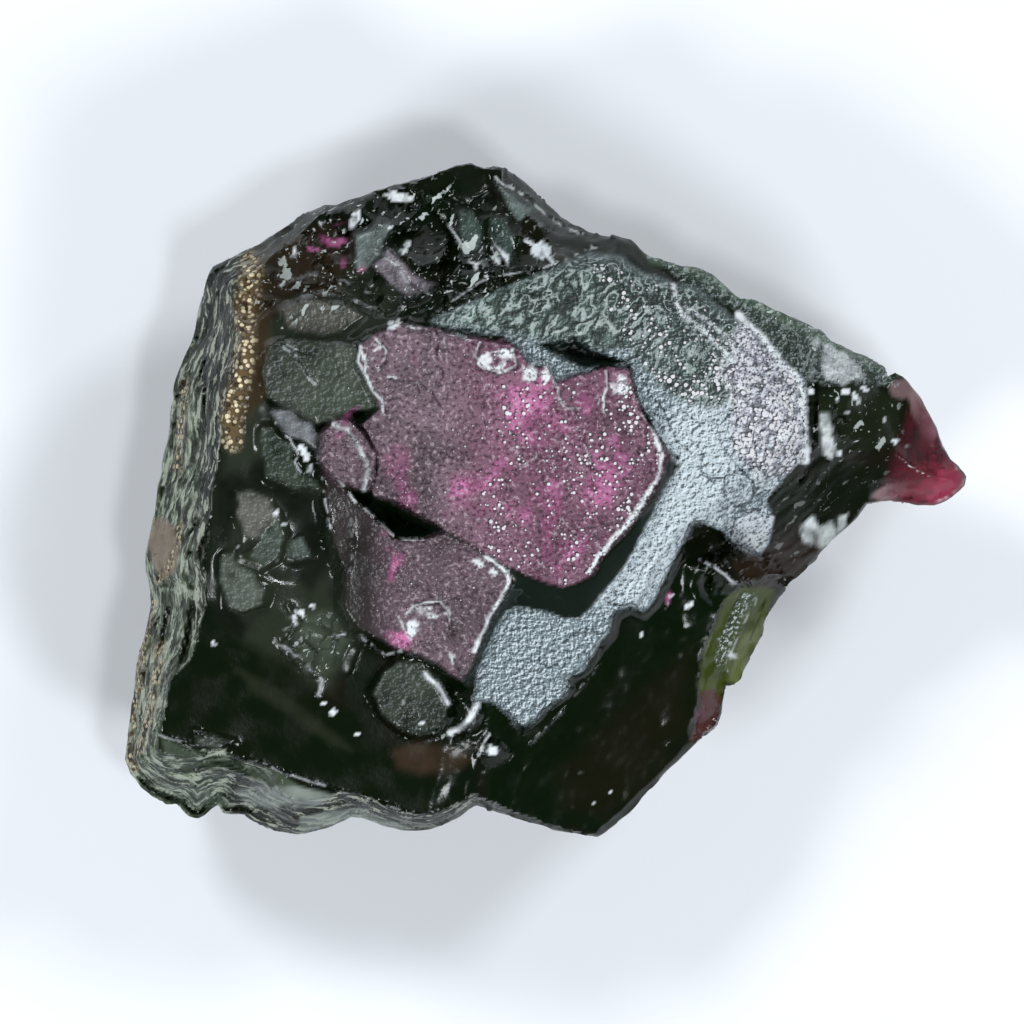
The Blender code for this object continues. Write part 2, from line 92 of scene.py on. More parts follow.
OUTLINE = (
    # The top edge, a rough break
    Stretch(
        [(206, 280), (212, 266), (240, 253), (262, 243), (280, 230), (301, 216), (321, 206), (342, 201),
        (362, 196),
         (382, 189), (403, 183), (423, 178), (440, 171), (456, 165), (470, 163), (484, 168), (499, 166)],
        rim=(3.0, 3.5, 3.9, 4.0), crest=4.6, face=(26, 22, 16, 14), undercut=(70, 90, 100),
    ),
    # The thin bright chamfer at the upper right
    Stretch(
        [(512, 173), (525, 184), (540, 196), (554, 211), (566, 220), (580, 225), (590, 232), (605, 235)],
        rim=(3.6, 3.7, 4.1), crest=(4.0, 4.1, 4.5), face=14, undercut=100,
    ),
    # The rounded shoulder that falls towards the tip
    Stretch(
        [(620, 237), (630, 240), (640, 248), (650, 255), (660, 258), (680, 264), (692, 265), (704, 268),
        (712, 273),
         (722, 282), (731, 291), (740, 299), (755, 300), (770, 308), (785, 314), (800, 320), (815, 328),
         (825, 333), (832, 339), (845, 346), (853, 353), (865, 357), (878, 363), (886, 369)],
        rim=(4.4, 4.25, 4.1, 3.8, 3.5), crest=(4.9, 4.7, 4.6, 4.4, 4.0), face=(20, 34, 40, 40, 36),
        undercut=110,
    ),
    # The thin translucent tip
    Stretch(
        [(889, 377), (897, 373), (906, 378), (915, 388), (923, 399), (931, 413), (938, 429), (944, 447),
        (952, 458),
         (960, 466), (967, 477), (966, 486), (960, 491), (948, 499), (935, 504), (920, 504), (905, 501),
         (890, 499), (878, 500)],
        rim=(3.4, 3.3, 3.2, 3.1, 3.2), crest=3.7, face=(34, 44, 50, 44, 34), undercut=(220, 280, 300, 280,
        220),
    ),
    # The broken neck under the tip
    Stretch(
        [(867, 503), (858, 515), (850, 525), (841, 534), (831, 543), (823, 553), (815, 562), (804, 572),
        (792, 582)],
        rim=(3.3, 3.2, 2.9), crest=3.9, face=(44, 50, 46), undercut=(180, 140),
    ),
    # The thin green splinter
    Stretch(
        [(781, 594), (771, 612), (764, 625), (764, 637), (756, 650), (748, 665), (742, 680), (735, 686),
        (727, 687),
         (724, 700), (721, 715), (717, 726), (706, 735)],
        rim=(2.4, 2.3, 2.4, 2.6), crest=2.9, face=(30, 40, 22), undercut=(110, 100),
    ),
    # The straight edge of the dark facet
    Stretch(
        [(698, 742), (680, 760), (660, 781), (640, 801), (620, 821), (607, 832)],
        rim=3.0, crest=3.2, face=5, undercut=88,
    ),
    # The lower edge of the dark facet
    Stretch(
        [(598, 838), (580, 836), (560, 831), (540, 825), (520, 820), (500, 814)],
        rim=(3.15, 3.5, 3.6), crest=(3.45, 3.85, 4.0), face=(4, 6), undercut=(90, 80),
    ),
    # The streaked lower face
    Stretch(
        [(476, 807), (467, 813), (457, 820), (443, 826), (430, 830), (415, 831), (400, 830), (380, 826),
        (362, 820),
         (350, 819), (338, 824), (325, 829), (310, 833), (295, 835), (285, 834), (272, 830), (260, 826),
         (250, 821), (243, 816), (230, 816), (221, 815), (216, 807), (210, 810), (203, 816), (195, 820),
         (186, 816), (178, 806), (165, 804), (150, 797), (139, 789), (128, 775)],
        rim=(2.6, 2.6, 2.5, 2.5, 2.5), crest=(4.3, 4.4, 4.6, 4.6, 4.6),
        face=(10, 14, 20, 27, 46, 58, 60, 62, 48), undercut=(80, 72, 66),
    ),
    # The striated left face
    Stretch(
        [(123, 760), (124, 745), (127, 730), (130, 710), (132, 690), (133, 672), (136, 655), (142, 640),
        (146, 622),
         (150, 604), (149, 590), (145, 572), (144, 555), (147, 540), (151, 524), (155, 502), (159, 480),
         (164, 458), (168, 432), (170, 405), (172, 386), (177, 369), (186, 349), (193, 330), (197, 313),
         (200, 300)],
        rim=(2.5, 2.6, 2.7, 2.8, 2.8), crest=(4.6, 4.8, 5.0, 5.0, 4.7),
        face=(30, 32, 46, 54, 60, 60, 58, 52, 46, 40), undercut=(66, 60, 74),
    ),
)

# Flat growth plates that stand on the broad face
LEFT_PLATE = [
    (268, 346), (288, 341), (322, 344), (355, 345), (361, 366), (371, 386), (381, 408), (352, 411),
    (336, 420), (318, 424), (300, 415), (283, 408), (268, 396), (262, 372),
]
ROSE_PLATE = [
    (359, 346), (372, 337), (400, 326), (420, 326), (445, 331), (466, 338), (484, 337), (503, 338),
    (518, 352), (530, 366), (545, 370), (556, 384), (580, 376), (606, 368), (628, 370), (634, 394),
    (642, 412), (657, 437), (670, 455), (665, 473), (655, 494), (641, 514), (623, 537), (604, 557),
    (595, 573), (581, 581), (563, 587), (545, 582), (524, 573), (503, 563), (480, 549), (458, 536),
    (440, 528), (418, 517), (398, 505), (374, 500), (370, 470), (374, 446), (362, 424), (381, 409),
    (371, 386), (361, 366),
]
LENS_PLATE = [
    (320, 435), (333, 422), (349, 419), (363, 433), (376, 454), (375, 474), (369, 492), (351, 487),
    (331, 475), (320, 460),
]
LOWER_PLATE = [
    (324, 478), (345, 488), (364, 506), (380, 526), (392, 540), (420, 539), (441, 533), (463, 543),
    (484, 555), (504, 567), (512, 582), (504, 597), (494, 614), (484, 635), (478, 652), (473, 666),
    (463, 680), (450, 674), (438, 663), (412, 652), (392, 645), (362, 630), (346, 612), (345, 572),
    (334, 540), (327, 508),
]
ROUND_PLATE = [
    (373, 694), (383, 673), (401, 661), (421, 664), (438, 680), (449, 700), (447, 716), (436, 729),
    (418, 735), (398, 727), (383, 714),
]

# The frosted layer under the plates ends at this broken line, and the dark facet lies below it
DARK_FACET = [
    (735, 546), (719, 531), (700, 523), (690, 526), (684, 544), (674, 562), (666, 580), (656, 601),
    (644, 614), (630, 608), (616, 614), (611, 634), (599, 649), (590, 664), (583, 674), (569, 680),
    (572, 691), (556, 704), (541, 718), (524, 735), (507, 718), (496, 706), (480, 702), (474, 730),
    (470, 770), (464, 815), (470, 860), (620, 860), (730, 740), (712, 690), (718, 640), (742, 592),
    (792, 590), (776, 560),
]
SPLINTER = [
    (742, 588), (724, 606), (716, 626), (708, 646), (703, 667), (701, 692), (700, 738), (700, 760),
    (810, 760), (810, 575), (768, 582),
]
TIP_BODY = [
    (752, 290), (772, 318), (797, 341), (806, 362), (809, 392), (807, 460), (795, 468), (779, 486),
    (768, 500), (776, 518), (770, 545), (756, 557), (736, 548), (742, 575), (764, 585), (820, 610),
    (1010, 560), (1010, 330), (860, 290),
]

# Deep gaps between the layers, which are also painted dark as shade
GASH = [(351, 490), (377, 498), (402, 506), (428, 521), (443, 532), (422, 539), (402, 537), (389, 528),
(370, 509)]
WEDGE = [(536, 346), (556, 343), (574, 339), (592, 350), (624, 363), (604, 368), (580, 366), (556, 354)]
CRACK = [(426, 322), (442, 326), (468, 330), (496, 336), (516, 345), (498, 342), (470, 336), (444, 331)]

# The cliff that falls from the rose plate to the frosted layer, painted black as shade
CLIFF = [
    (669, 455), (665, 473), (655, 494), (642, 514), (624, 537), (605, 557), (595, 574), (581, 582),
    (563, 588), (545, 583), (524, 574), (506, 567), (514, 583), (506, 598), (496, 615), (486, 636),
    (480, 653), (474, 668), (480, 668), (487, 648), (495, 628), (506, 612), (518, 606), (545, 612),
    (563, 619), (581, 619), (604, 593), (621, 573), (634, 550), (645, 528), (658, 506), (668, 484),
    (680, 465), (674, 458),
]

# Shell-shaped breaks: column, row, half width, half height, turn in degrees, depth in mm
BREAKS = (
    (470, 196, 62, 30, -10, 0.34), (436, 232, 34, 44, 10, 0.36), (473, 238, 17, 42, 4, 0.30),
    (503, 236, 20, 44, -4, 0.32), (538, 236, 30, 34, -24, 0.34), (398, 206, 36, 24, -12, 0.26),
    (332, 232, 42, 24, -20, 0.30), (300, 262, 44, 22, -14, 0.26), (344, 276, 40, 15, -12, 0.24),
    (404, 282, 36, 22, 24, 0.18), (302, 292, 52, 13, -6, 0.22), (362, 306, 46, 12, 4, 0.20),
    (248, 300, 16, 36, 8, 0.14), (540, 286, 52, 16, -18, 0.12), (470, 288, 40, 12, -16, 0.14),
    (300, 530, 34, 60, -10, 0.08), (712, 548, 26, 20, 20, 0.34),
    (846, 412, 24, 28, 10, 0.20), (860, 468, 40, 22, 12, 0.24), (906, 462, 30, 20, 20, 0.14),
    (818, 500, 44, 24, -24, 0.22), (780, 560, 26, 18, -30, 0.20), (790, 350, 26, 18, 40, 0.16),
    (716, 590, 24, 16, -30, 0.14), (738, 660, 12, 40, -24, 0.16), (906, 408, 16, 26, 20, 0.12),
)

# Smooth swellings that stand out, in the same form
SWELLINGS = (
    (492, 752, 14, 12, 0, 0.22), (158, 548, 14, 30, 10, 0.30), (316, 650, 40, 26, -20, 0.14),
    (462, 712, 18, 14, 30, 0.12), (245, 544, 8, 6, 0, 0.06),
)

# A small flat face: its outline, how far it stands out in mm, how much it rises in mm over 100 columns and
# 100 rows, and its colour, partly its own tone and partly a painted reflection of the light it faces
Facet = namedtuple("Facet", "points lift lean colour")

FACETS = (
    # The left ground
    Facet([(235, 498), (249, 493), (269, 497), (280, 511), (274, 526), (260, 540), (243, 537), (233, 516)],
          0.05, (-0.06, 0.10), (98, 97, 90)),
    Facet([(260, 543), (280, 515), (288, 533), (283, 556), (270, 568), (257, 554)], 0.04, (0.12, 0.05),
           (82, 92, 84)),
    Facet([(226, 554), (238, 551), (257, 577), (262, 603), (246, 608), (231, 602), (224, 575)],
          0.03, (0.08, 0.16), (90, 96, 88)),
    Facet([(294, 540), (306, 537), (311, 554), (299, 561), (292, 556)], 0.04, (0.1, 0.2), (82, 92, 86)),
    Facet([(266, 430), (275, 428), (291, 442), (297, 449), (294, 462), (304, 474), (318, 490), (300, 488),
           (272, 478), (264, 450)], 0.03, (0.05, 0.12), (60, 68, 58)),
    Facet([(271, 411), (288, 412), (300, 421), (312, 424), (322, 440), (319, 452), (306, 441), (290, 429),
           (276, 419)], 0.06, (0.2, -0.1), (120, 122, 126)),
    Facet([(196, 730), (213, 734), (230, 743), (219, 746), (202, 740)], 0.05, (-0.1, 0.3), (82, 88, 80)),
    # The top break
    Facet([(356, 231), (380, 226), (394, 231), (385, 248), (366, 262), (355, 265)], 0.14, (0.3, 0.2),
           (98, 108, 106)),
    Facet([(374, 262), (391, 251), (413, 271), (441, 279), (433, 287), (416, 296), (396, 282), (380, 271)],
          0.12, (-0.2, 0.3), (132, 122, 132)),
    Facet([(458, 215), (474, 214), (481, 226), (480, 254), (470, 250), (460, 235)], 0.10, (0.9, 0.1),
           (72, 86, 80)),
    Facet([(489, 222), (506, 218), (514, 236), (512, 262), (498, 258), (490, 240)], 0.10, (0.9, 0.2),
           (62, 76, 70)),
    Facet([(497, 186), (516, 196), (534, 209), (520, 216), (506, 203)], 0.08, (0.3, -0.4), (92, 106, 102)),
    Facet([(284, 306), (310, 300), (345, 304), (357, 318), (340, 330), (300, 331), (286, 322)],
          0.08, (0.05, -0.15), (80, 78, 71)),
    # The right end
    Facet([(824, 361), (831, 344), (848, 347), (858, 356), (868, 376), (846, 383), (829, 373)],
          0.16, (0.2, 0.5), (224, 228, 232)),
    Facet([(810, 337), (820, 335), (824, 345), (814, 348)], 0.08, (0.2, 0.5), (184, 190, 190)),
    Facet([(819, 412), (828, 409), (834, 424), (830, 434), (821, 430)], 0.10, (0.6, 0), (204, 210, 210)),
    Facet([(822, 433), (834, 432), (836, 446), (830, 458), (823, 452)], 0.10, (0.6, 0), (222, 226, 228)),
    Facet([(730, 538), (735, 521), (756, 509), (776, 516), (773, 533), (761, 553), (747, 553)],
          0.20, (0.1, 0.3), (216, 218, 226)),
    Facet([(725, 476), (742, 472), (753, 484), (750, 500), (736, 505), (726, 494)], 0.12, (-0.2, 0.2),
           (168, 178, 184)),
    Facet([(747, 470), (760, 466), (776, 478), (774, 488), (760, 484)], 0.10, (0.2, 0.1), (184, 190, 196)),
    Facet([(718, 512), (728, 510), (732, 522), (724, 527), (717, 521)], 0.08, (0, 0.3), (160, 168, 174)),
    Facet([(802, 524), (812, 518), (819, 530), (815, 545), (804, 542)], 0.10, (0.3, 0.6), (210, 216, 218)),
    Facet([(819, 530), (828, 526), (834, 540), (826, 553), (818, 546)], 0.08, (0.5, 0.6), (188, 194, 192)),
    Facet([(834, 522), (846, 520), (842, 533), (834, 538)], 0.08, (0.6, 0.6), (196, 202, 202)),
)
FACET_CLIFF = 8

# Broken ground, rough with shards: column, row, half width, half height, turn and strength
BROKEN = (
    (400, 240, 190, 80, -14, 1.0), (300, 290, 80, 40, 0, 0.7), (850, 420, 60, 110, 0, 0.7),
    (800, 540, 80, 60, -30, 0.7), (312, 645, 40, 34, 30, 0.7), (455, 725, 36, 26, 0, 0.5),
    (730, 575, 40, 26, 0, 0.4), (700, 272, 70, 22, -24, 0.6), (790, 330, 70, 24, -30, 0.7),
    (200, 770, 60, 30, 0, 0.4),
)

UNDERSIDE_BREAKS = (
    (470, 240, 120, 60, 10, 0.9), (330, 270, 90, 60, -20, 0.8), (640, 300, 110, 70, 25, 1.0),
    (780, 380, 110, 60, 20, 0.6), (700, 620, 90, 70, -50, 0.8), (560, 790, 90, 50, 10, 0.9),
    (380, 790, 80, 40, 5, 0.6), (210, 760, 70, 50, 30, 0.4), (190, 470, 40, 120, 0, 0.5),
    (620, 720, 60, 80, -45, 0.7), (880, 470, 70, 30, 10, 0.25),
)

# Uneven ground: the size of its waves in pixels and their height in mm
WAVES = ((150, 0.10), (62, 0.05), (26, 0.022))
UNDERSIDE_WAVES = ((150, 0.50), (58, 0.24), (22, 0.07))
LEDGE_STRETCH = 10
LEDGE_WAVES = ((120, 0.22), (50, 0.08))

# How much higher, in mm, the side face reaches beside the dark facet, which runs out almost to its edge
FACET_RISE = 1.5

# A painted area: its outline, its colour, how wide its soft rim is in pixels, and how well it covers
Area = namedtuple("Area", "points colour soft cover")

SHOULDER = Area(
    [(640, 238), (672, 272), (704, 292), (741, 312), (763, 335), (783, 359), (799, 376), (812, 380),
    (830, 384),
     (900, 384), (880, 350), (820, 320), (760, 290), (700, 250)], (38, 52, 40), 6, 0.9)

GROUND_AREAS = (
    Area([(222, 262), (300, 232), (400, 290), (392, 326), (340, 340), (268, 346), (262, 400), (262, 430),
          (304, 490), (327, 490), (345, 600), (362, 640), (330, 690), (296, 690), (236, 650), (214, 600),
          (212, 500), (228, 440), (236, 380)], (40, 46, 36), 24, 0.9),
    Area([(216, 480), (262, 458), (300, 492), (324, 500), (330, 560), (312, 590), (290, 575), (288, 525),
          (270, 495), (240, 492), (232, 530), (225, 560), (225, 600), (250, 625), (240, 640), (212, 620)],
          (14, 19, 13), 14, 0.85),
    Area([(150, 742), (172, 640), (212, 612), (240, 640), (290, 665), (330, 705), (380, 735), (400, 772),
          (470, 790), (470, 815), (400, 812), (300, 778), (200, 752)], (9, 19, 5), 18, 0.95),
    Area([(236, 300), (262, 250), (330, 222), (352, 260), (340, 290), (290, 300), (262, 330)],
          (42, 32, 22), 16, 0.8),
    Area([(244, 258), (262, 255), (266, 300), (270, 345), (262, 400), (240, 430), (234, 400), (246, 345)],
         (58, 44, 28), 10, 0.7),
    Area([(296, 615), (330, 612), (350, 640), (326, 680), (300, 668)], (74, 82, 70), 16, 0.7),
    SHOULDER,
    Area([(640, 246), (700, 262), (760, 298), (820, 326), (880, 362), (884, 374), (820, 340), (756, 310),
          (700, 276), (650, 262)], (88, 106, 90), 8, 0.6),
    Area([(812, 395), (860, 380), (900, 400), (900, 440), (870, 450), (835, 450), (812, 440)],
          (26, 34, 20), 8, 0.8),
    Area([(800, 480), (840, 462), (905, 470), (880, 492), (850, 505), (800, 520), (776, 510)],
          (14, 22, 9), 10, 0.9),
    Area([(736, 560), (780, 540), (830, 540), (800, 575), (766, 592), (740, 582)], (36, 25, 18), 10, 0.8),
    Area([(392, 752), (420, 742), (455, 748), (472, 760), (455, 772), (420, 774), (398, 768)],
          (56, 43, 32), 12, 0.8),
    Area([(480, 700), (540, 720), (600, 650), (650, 610), (690, 560), (740, 590), (700, 690), (690, 740),
          (600, 830), (490, 810)], (7, 20, 4), 8, 0.9),
    Area([(560, 770), (640, 690), (690, 650), (690, 730), (610, 820), (560, 810)], (26, 22, 11), 30, 0.6),
    Area([(238, 668), (262, 680), (300, 706), (340, 738), (352, 752), (330, 744), (290, 716), (250, 690)],
         (46, 50, 36), 10, 0.45),
)

SPLINTER_AREAS = (
    Area([(729, 597), (745, 586), (778, 590), (764, 630), (756, 646), (748, 665), (739, 684), (727, 684),
          (719, 704), (700, 696), (702, 680), (706, 650)], (70, 80, 18), 4, 0.95),
    Area([(729, 600), (744, 592), (742, 616), (728, 650), (722, 680), (702, 684), (707, 650)],
          (58, 70, 24), 6, 0.8),
    Area([(744, 640), (758, 628), (765, 634), (757, 650), (748, 667), (740, 684), (729, 682), (734, 664)],
         (160, 172, 120), 6, 0.25),
    Area([(700, 694), (714, 690), (722, 700), (719, 724), (700, 741), (690, 742), (704, 718)],
          (86, 52, 50), 4, 0.9),
)

# Smooth sheets of the lower face: pale ones, then the dark hollows between them
SHEETS = (
    Area([(161, 738), (200, 752), (245, 762), (285, 775), (300, 790), (250, 785), (200, 780), (165, 765)],
         (76, 88, 72), 5, 0.8),
    Area([(226, 790), (260, 786), (300, 788), (334, 795), (320, 806), (280, 812), (246, 808)],
          (138, 146, 140), 5, 0.75),
    Area([(296, 818), (340, 811), (362, 810), (386, 820), (414, 828), (400, 832), (360, 822), (330, 828),
          (300, 834)],
         (140, 150, 142), 4, 0.8),
    Area([(150, 782), (190, 786), (230, 800), (225, 810), (180, 804)], (84, 100, 86), 5, 0.8),
    Area([(222, 781), (242, 774), (262, 780), (258, 788), (236, 791)], (12, 18, 12), 4, 0.9),
    Area([(266, 816), (284, 806), (296, 812), (290, 822), (272, 824)], (12, 18, 12), 4, 0.9),
    Area([(186, 770), (204, 766), (214, 772), (200, 779)], (14, 20, 14), 4, 0.8),
    Area([(330, 800), (352, 799), (380, 808), (360, 808)], (18, 24, 18), 3, 0.8),
    Area([(390, 815), (430, 822), (476, 806), (476, 820), (430, 834), (400, 826)], (16, 20, 14), 4, 0.9),
)

# A line drawn on the stone: its points, width in pixels, height in mm (below 0 for a crack) and how pale
# it is, as a painted highlight along its rim that is partly pale chips on the edge
Line = namedtuple("Line", "points width rise pale")

LINES = (
    # Steps and rims of the left plate and of the lens-shaped one
    Line([(280, 345), (296, 356), (306, 372), (316, 385)], 4, 0.03, 0.5),
    Line([(284, 343), (300, 352), (312, 354)], 3, 0.03, 0.5),
    Line([(434, 326), (440, 342), (436, 354), (446, 362)], 3, -0.03, 0),
    Line([(360, 352), (366, 362), (364, 374), (372, 390)], 5, 0.05, 0.9),
    Line([(376, 340), (386, 350), (384, 364), (378, 372)], 4, 0.04, 0.7),
    Line([(360, 345), (358, 362), (368, 382), (373, 392), (382, 400), (384, 412)], 5, 0.04, 0.8),
    Line([(388, 378), (408, 380), (422, 383), (430, 390), (441, 407)], 4, 0.03, 0.7),
    Line([(443, 338), (446, 350), (454, 358)], 3, -0.03, 0.4),
    Line([(322, 478), (325, 500), (330, 528)], 5, 0.05, 0.7),
    Line([(275, 428), (290, 440), (298, 455), (294, 462), (302, 474)], 4, 0.04, 0.6),
    Line([(352, 520), (353, 545), (350, 570)], 6, 0.03, 0.15),
    Line([(333, 425), (348, 430), (361, 450), (368, 468), (365, 489)], 9, 0.06, 0.75),
    Line([(349, 418), (364, 431), (378, 454), (376, 476), (370, 494)], 4, -0.08, 0.0),
    # Rims and cracks of the rose plate
    Line([(340, 482), (355, 500), (370, 512), (385, 528), (398, 539), (424, 540)], 5, 0.04, 0.7),
    Line([(490, 525), (500, 507), (505, 490), (508, 475), (520, 466), (535, 458), (541, 450)], 4, 0.03, 0.3),
    Line([(583, 430), (585, 445), (590, 460), (593, 480), (592, 500)], 3, 0.03, 0.4),
    Line([(625, 363), (634, 372), (636, 394), (642, 410), (650, 422), (658, 436), (668, 448), (678, 458)],
          5, -0.14, 0),
    Line([(648, 420), (658, 422), (664, 431)], 3, -0.06, 0.0),
    Line([(655, 436), (662, 455), (659, 472), (649, 493), (636, 512), (618, 535), (600, 555), (589, 571)],
          8, 0.04, 1.4),
    Line([(634, 394), (642, 412), (655, 434), (664, 446)], 4, 0.03, 0.7),
    Line([(543, 362), (549, 372), (555, 384), (558, 396), (566, 408), (580, 408)], 4, 0.03, 0.8),
    Line([(606, 372), (607, 386), (603, 400), (604, 412)], 4, 0.03, 0.9),
    Line([(407, 327), (430, 330), (463, 336), (473, 342), (476, 361), (482, 372)], 4, 0.03, 0.7),
    Line([(480, 343), (474, 356), (484, 368), (500, 372), (516, 366), (512, 350)], 5, 0.05, 1.0),
    Line([(492, 352), (502, 358), (498, 366)], 4, 0.04, 0.9),
    Line([(604, 392), (598, 404), (606, 416), (600, 430)], 3, 0.03, 0.5),
    Line([(524, 366), (530, 378), (540, 372)], 4, 0.04, 0.8),
    # The lower plate, its right rim and its curved breaks
    Line([(486, 557), (502, 568), (509, 582), (501, 597), (491, 614), (481, 635), (475, 652)], 7, 0.04, 1.3),
    Line([(405, 613), (413, 606), (425, 602), (440, 602), (446, 610)], 5, 0.05, 0.75),
    Line([(447, 610), (450, 625), (455, 640), (460, 636)], 5, 0.04, 0.7),
    Line([(398, 616), (404, 630), (412, 640)], 5, 0.03, 0.6),
    Line([(450, 655), (454, 666), (462, 676)], 6, 0.04, 0.7),
    Line([(360, 636), (374, 648), (386, 655), (402, 650)], 5, 0.04, 0.6),
    # The round plate
    Line([(425, 674), (440, 688), (449, 704)], 9, 0.05, 1.2),
    Line([(478, 705), (472, 716), (462, 727), (450, 734)], 11, 0.05, 1.2),
    Line([(478, 756), (484, 744), (490, 736)], 5, 0.05, 0.9),
    # The dark facet and the break above the splinter
    Line([(530, 745), (560, 715), (580, 690), (600, 665)], 4, 0.015, 0.08),
    Line([(700, 560), (715, 568), (725, 575), (735, 583), (750, 582)], 6, 0.05, 0.7),
    Line([(666, 610), (668, 600), (674, 594)], 4, 0.03, 0.7),
    # The frosted layer
    Line([(674, 284), (675, 300), (680, 312), (701, 327), (720, 347), (732, 361), (721, 366), (720, 376),
          (732, 386), (731, 407)], 8, 0.06, 1.4),
    Line([(684, 304), (706, 318), (728, 338), (742, 354)], 7, 0.04, 1.1),
    Line([(739, 315), (752, 328), (763, 339), (781, 361), (795, 376)], 12, 0.06, 1.5),
    Line([(795, 374), (803, 396), (805, 420), (806, 440), (806, 460)], 13, 0.06, 1.5),
    Line([(640, 420), (654, 414), (668, 420), (684, 412), (700, 424), (716, 420)], 3, -0.03, 0),
    Line([(690, 440), (704, 452), (700, 470), (716, 484)], 3, -0.03, 0),
    Line([(730, 542), (734, 522), (757, 508), (778, 516), (776, 534), (762, 555), (746, 556), (730, 542)],
          5, -0.08, 0),
    Line([(724, 476), (742, 470), (755, 484), (752, 502), (736, 507), (724, 494), (724, 476)], 4, -0.06, 0),
    Line([(748, 468), (764, 466), (779, 479), (776, 492), (758, 488)], 4, -0.05, 0),
    Line([(700, 470), (712, 478), (724, 478)], 3, -0.04, 0),
    Line([(716, 524), (722, 508), (730, 506)], 4, -0.05, 0),
    Line([(640, 372), (650, 394), (664, 410), (676, 440), (690, 452)], 3, -0.03, 0),
    Line([(730, 414), (716, 430), (724, 450), (740, 470)], 3, -0.03, 0),
    Line([(748, 594), (750, 612), (742, 634), (734, 652), (728, 672)], 4, 0.03, 0.45),
    Line([(758, 592), (754, 612), (748, 630)], 4, 0.03, 0.35),
    Line([(738, 600), (730, 620), (722, 644)], 3, -0.03, 0),
    Line([(768, 598), (760, 620), (752, 640)], 3, -0.03, 0),
    Line([(612, 590), (626, 596), (622, 606), (606, 602)], 4, -0.05, 0),
    Line([(566, 640), (584, 628), (600, 634)], 3, -0.04, 0),
    Line([(540, 660), (548, 668), (560, 664)], 3, -0.04, 0),
    Line([(814, 366), (818, 390), (817, 420), (816, 445), (812, 468), (800, 482)], 9, -0.16, 0.0),
    Line([(432, 317), (445, 305), (462, 296), (480, 282), (500, 276), (540, 269), (580, 253), (600, 246)],
          4, 0.04, 0.5),
    Line([(625, 363), (634, 357), (642, 352)], 3, -0.05, 0.0),
    Line([(450, 312), (470, 320), (500, 324), (530, 330)], 3, 0.02, 0.3),
    # Chains of crumbs in the black ground at the left
    Line([(290, 605), (300, 620), (290, 632)], 7, 0.05, 0.7),
    Line([(275, 640), (290, 650), (310, 670), (322, 680), (318, 695)], 8, 0.04, 0.4),
    Line([(330, 635), (345, 634)], 6, 0.05, 0.6),
    # The crest of the lower face and its streaks
    Line(
        [(158, 735), (180, 742), (200, 755), (230, 760), (260, 762), (280, 772), (310, 782), (330, 788),
        (355, 797),
         (380, 803), (400, 810), (430, 820)], 5, 0.05, 0.35),
    Line([(195, 730), (215, 740), (230, 744)], 6, 0.04, 0.4),
    # Glassy folds of the top break
    Line([(448, 225), (456, 234), (462, 246)], 5, 0.05, 0.8),
    Line([(470, 262), (480, 268), (492, 272)], 6, 0.05, 0.7),
    Line([(495, 246), (502, 254), (508, 265)], 6, 0.05, 0.8),
    Line([(525, 240), (538, 248), (552, 262)], 7, 0.05, 0.9),
    Line([(280, 285), (310, 274), (340, 279), (368, 292)], 7, 0.05, 0.18),
    Line([(290, 300), (320, 292), (352, 298), (384, 312)], 7, 0.05, 0.16),
    Line([(375, 252), (392, 262), (412, 285), (432, 295)], 5, 0.05, 0.5),
    Line([(495, 176), (515, 190), (540, 208), (566, 226), (585, 234)], 5, 0.04, 0.6),
)
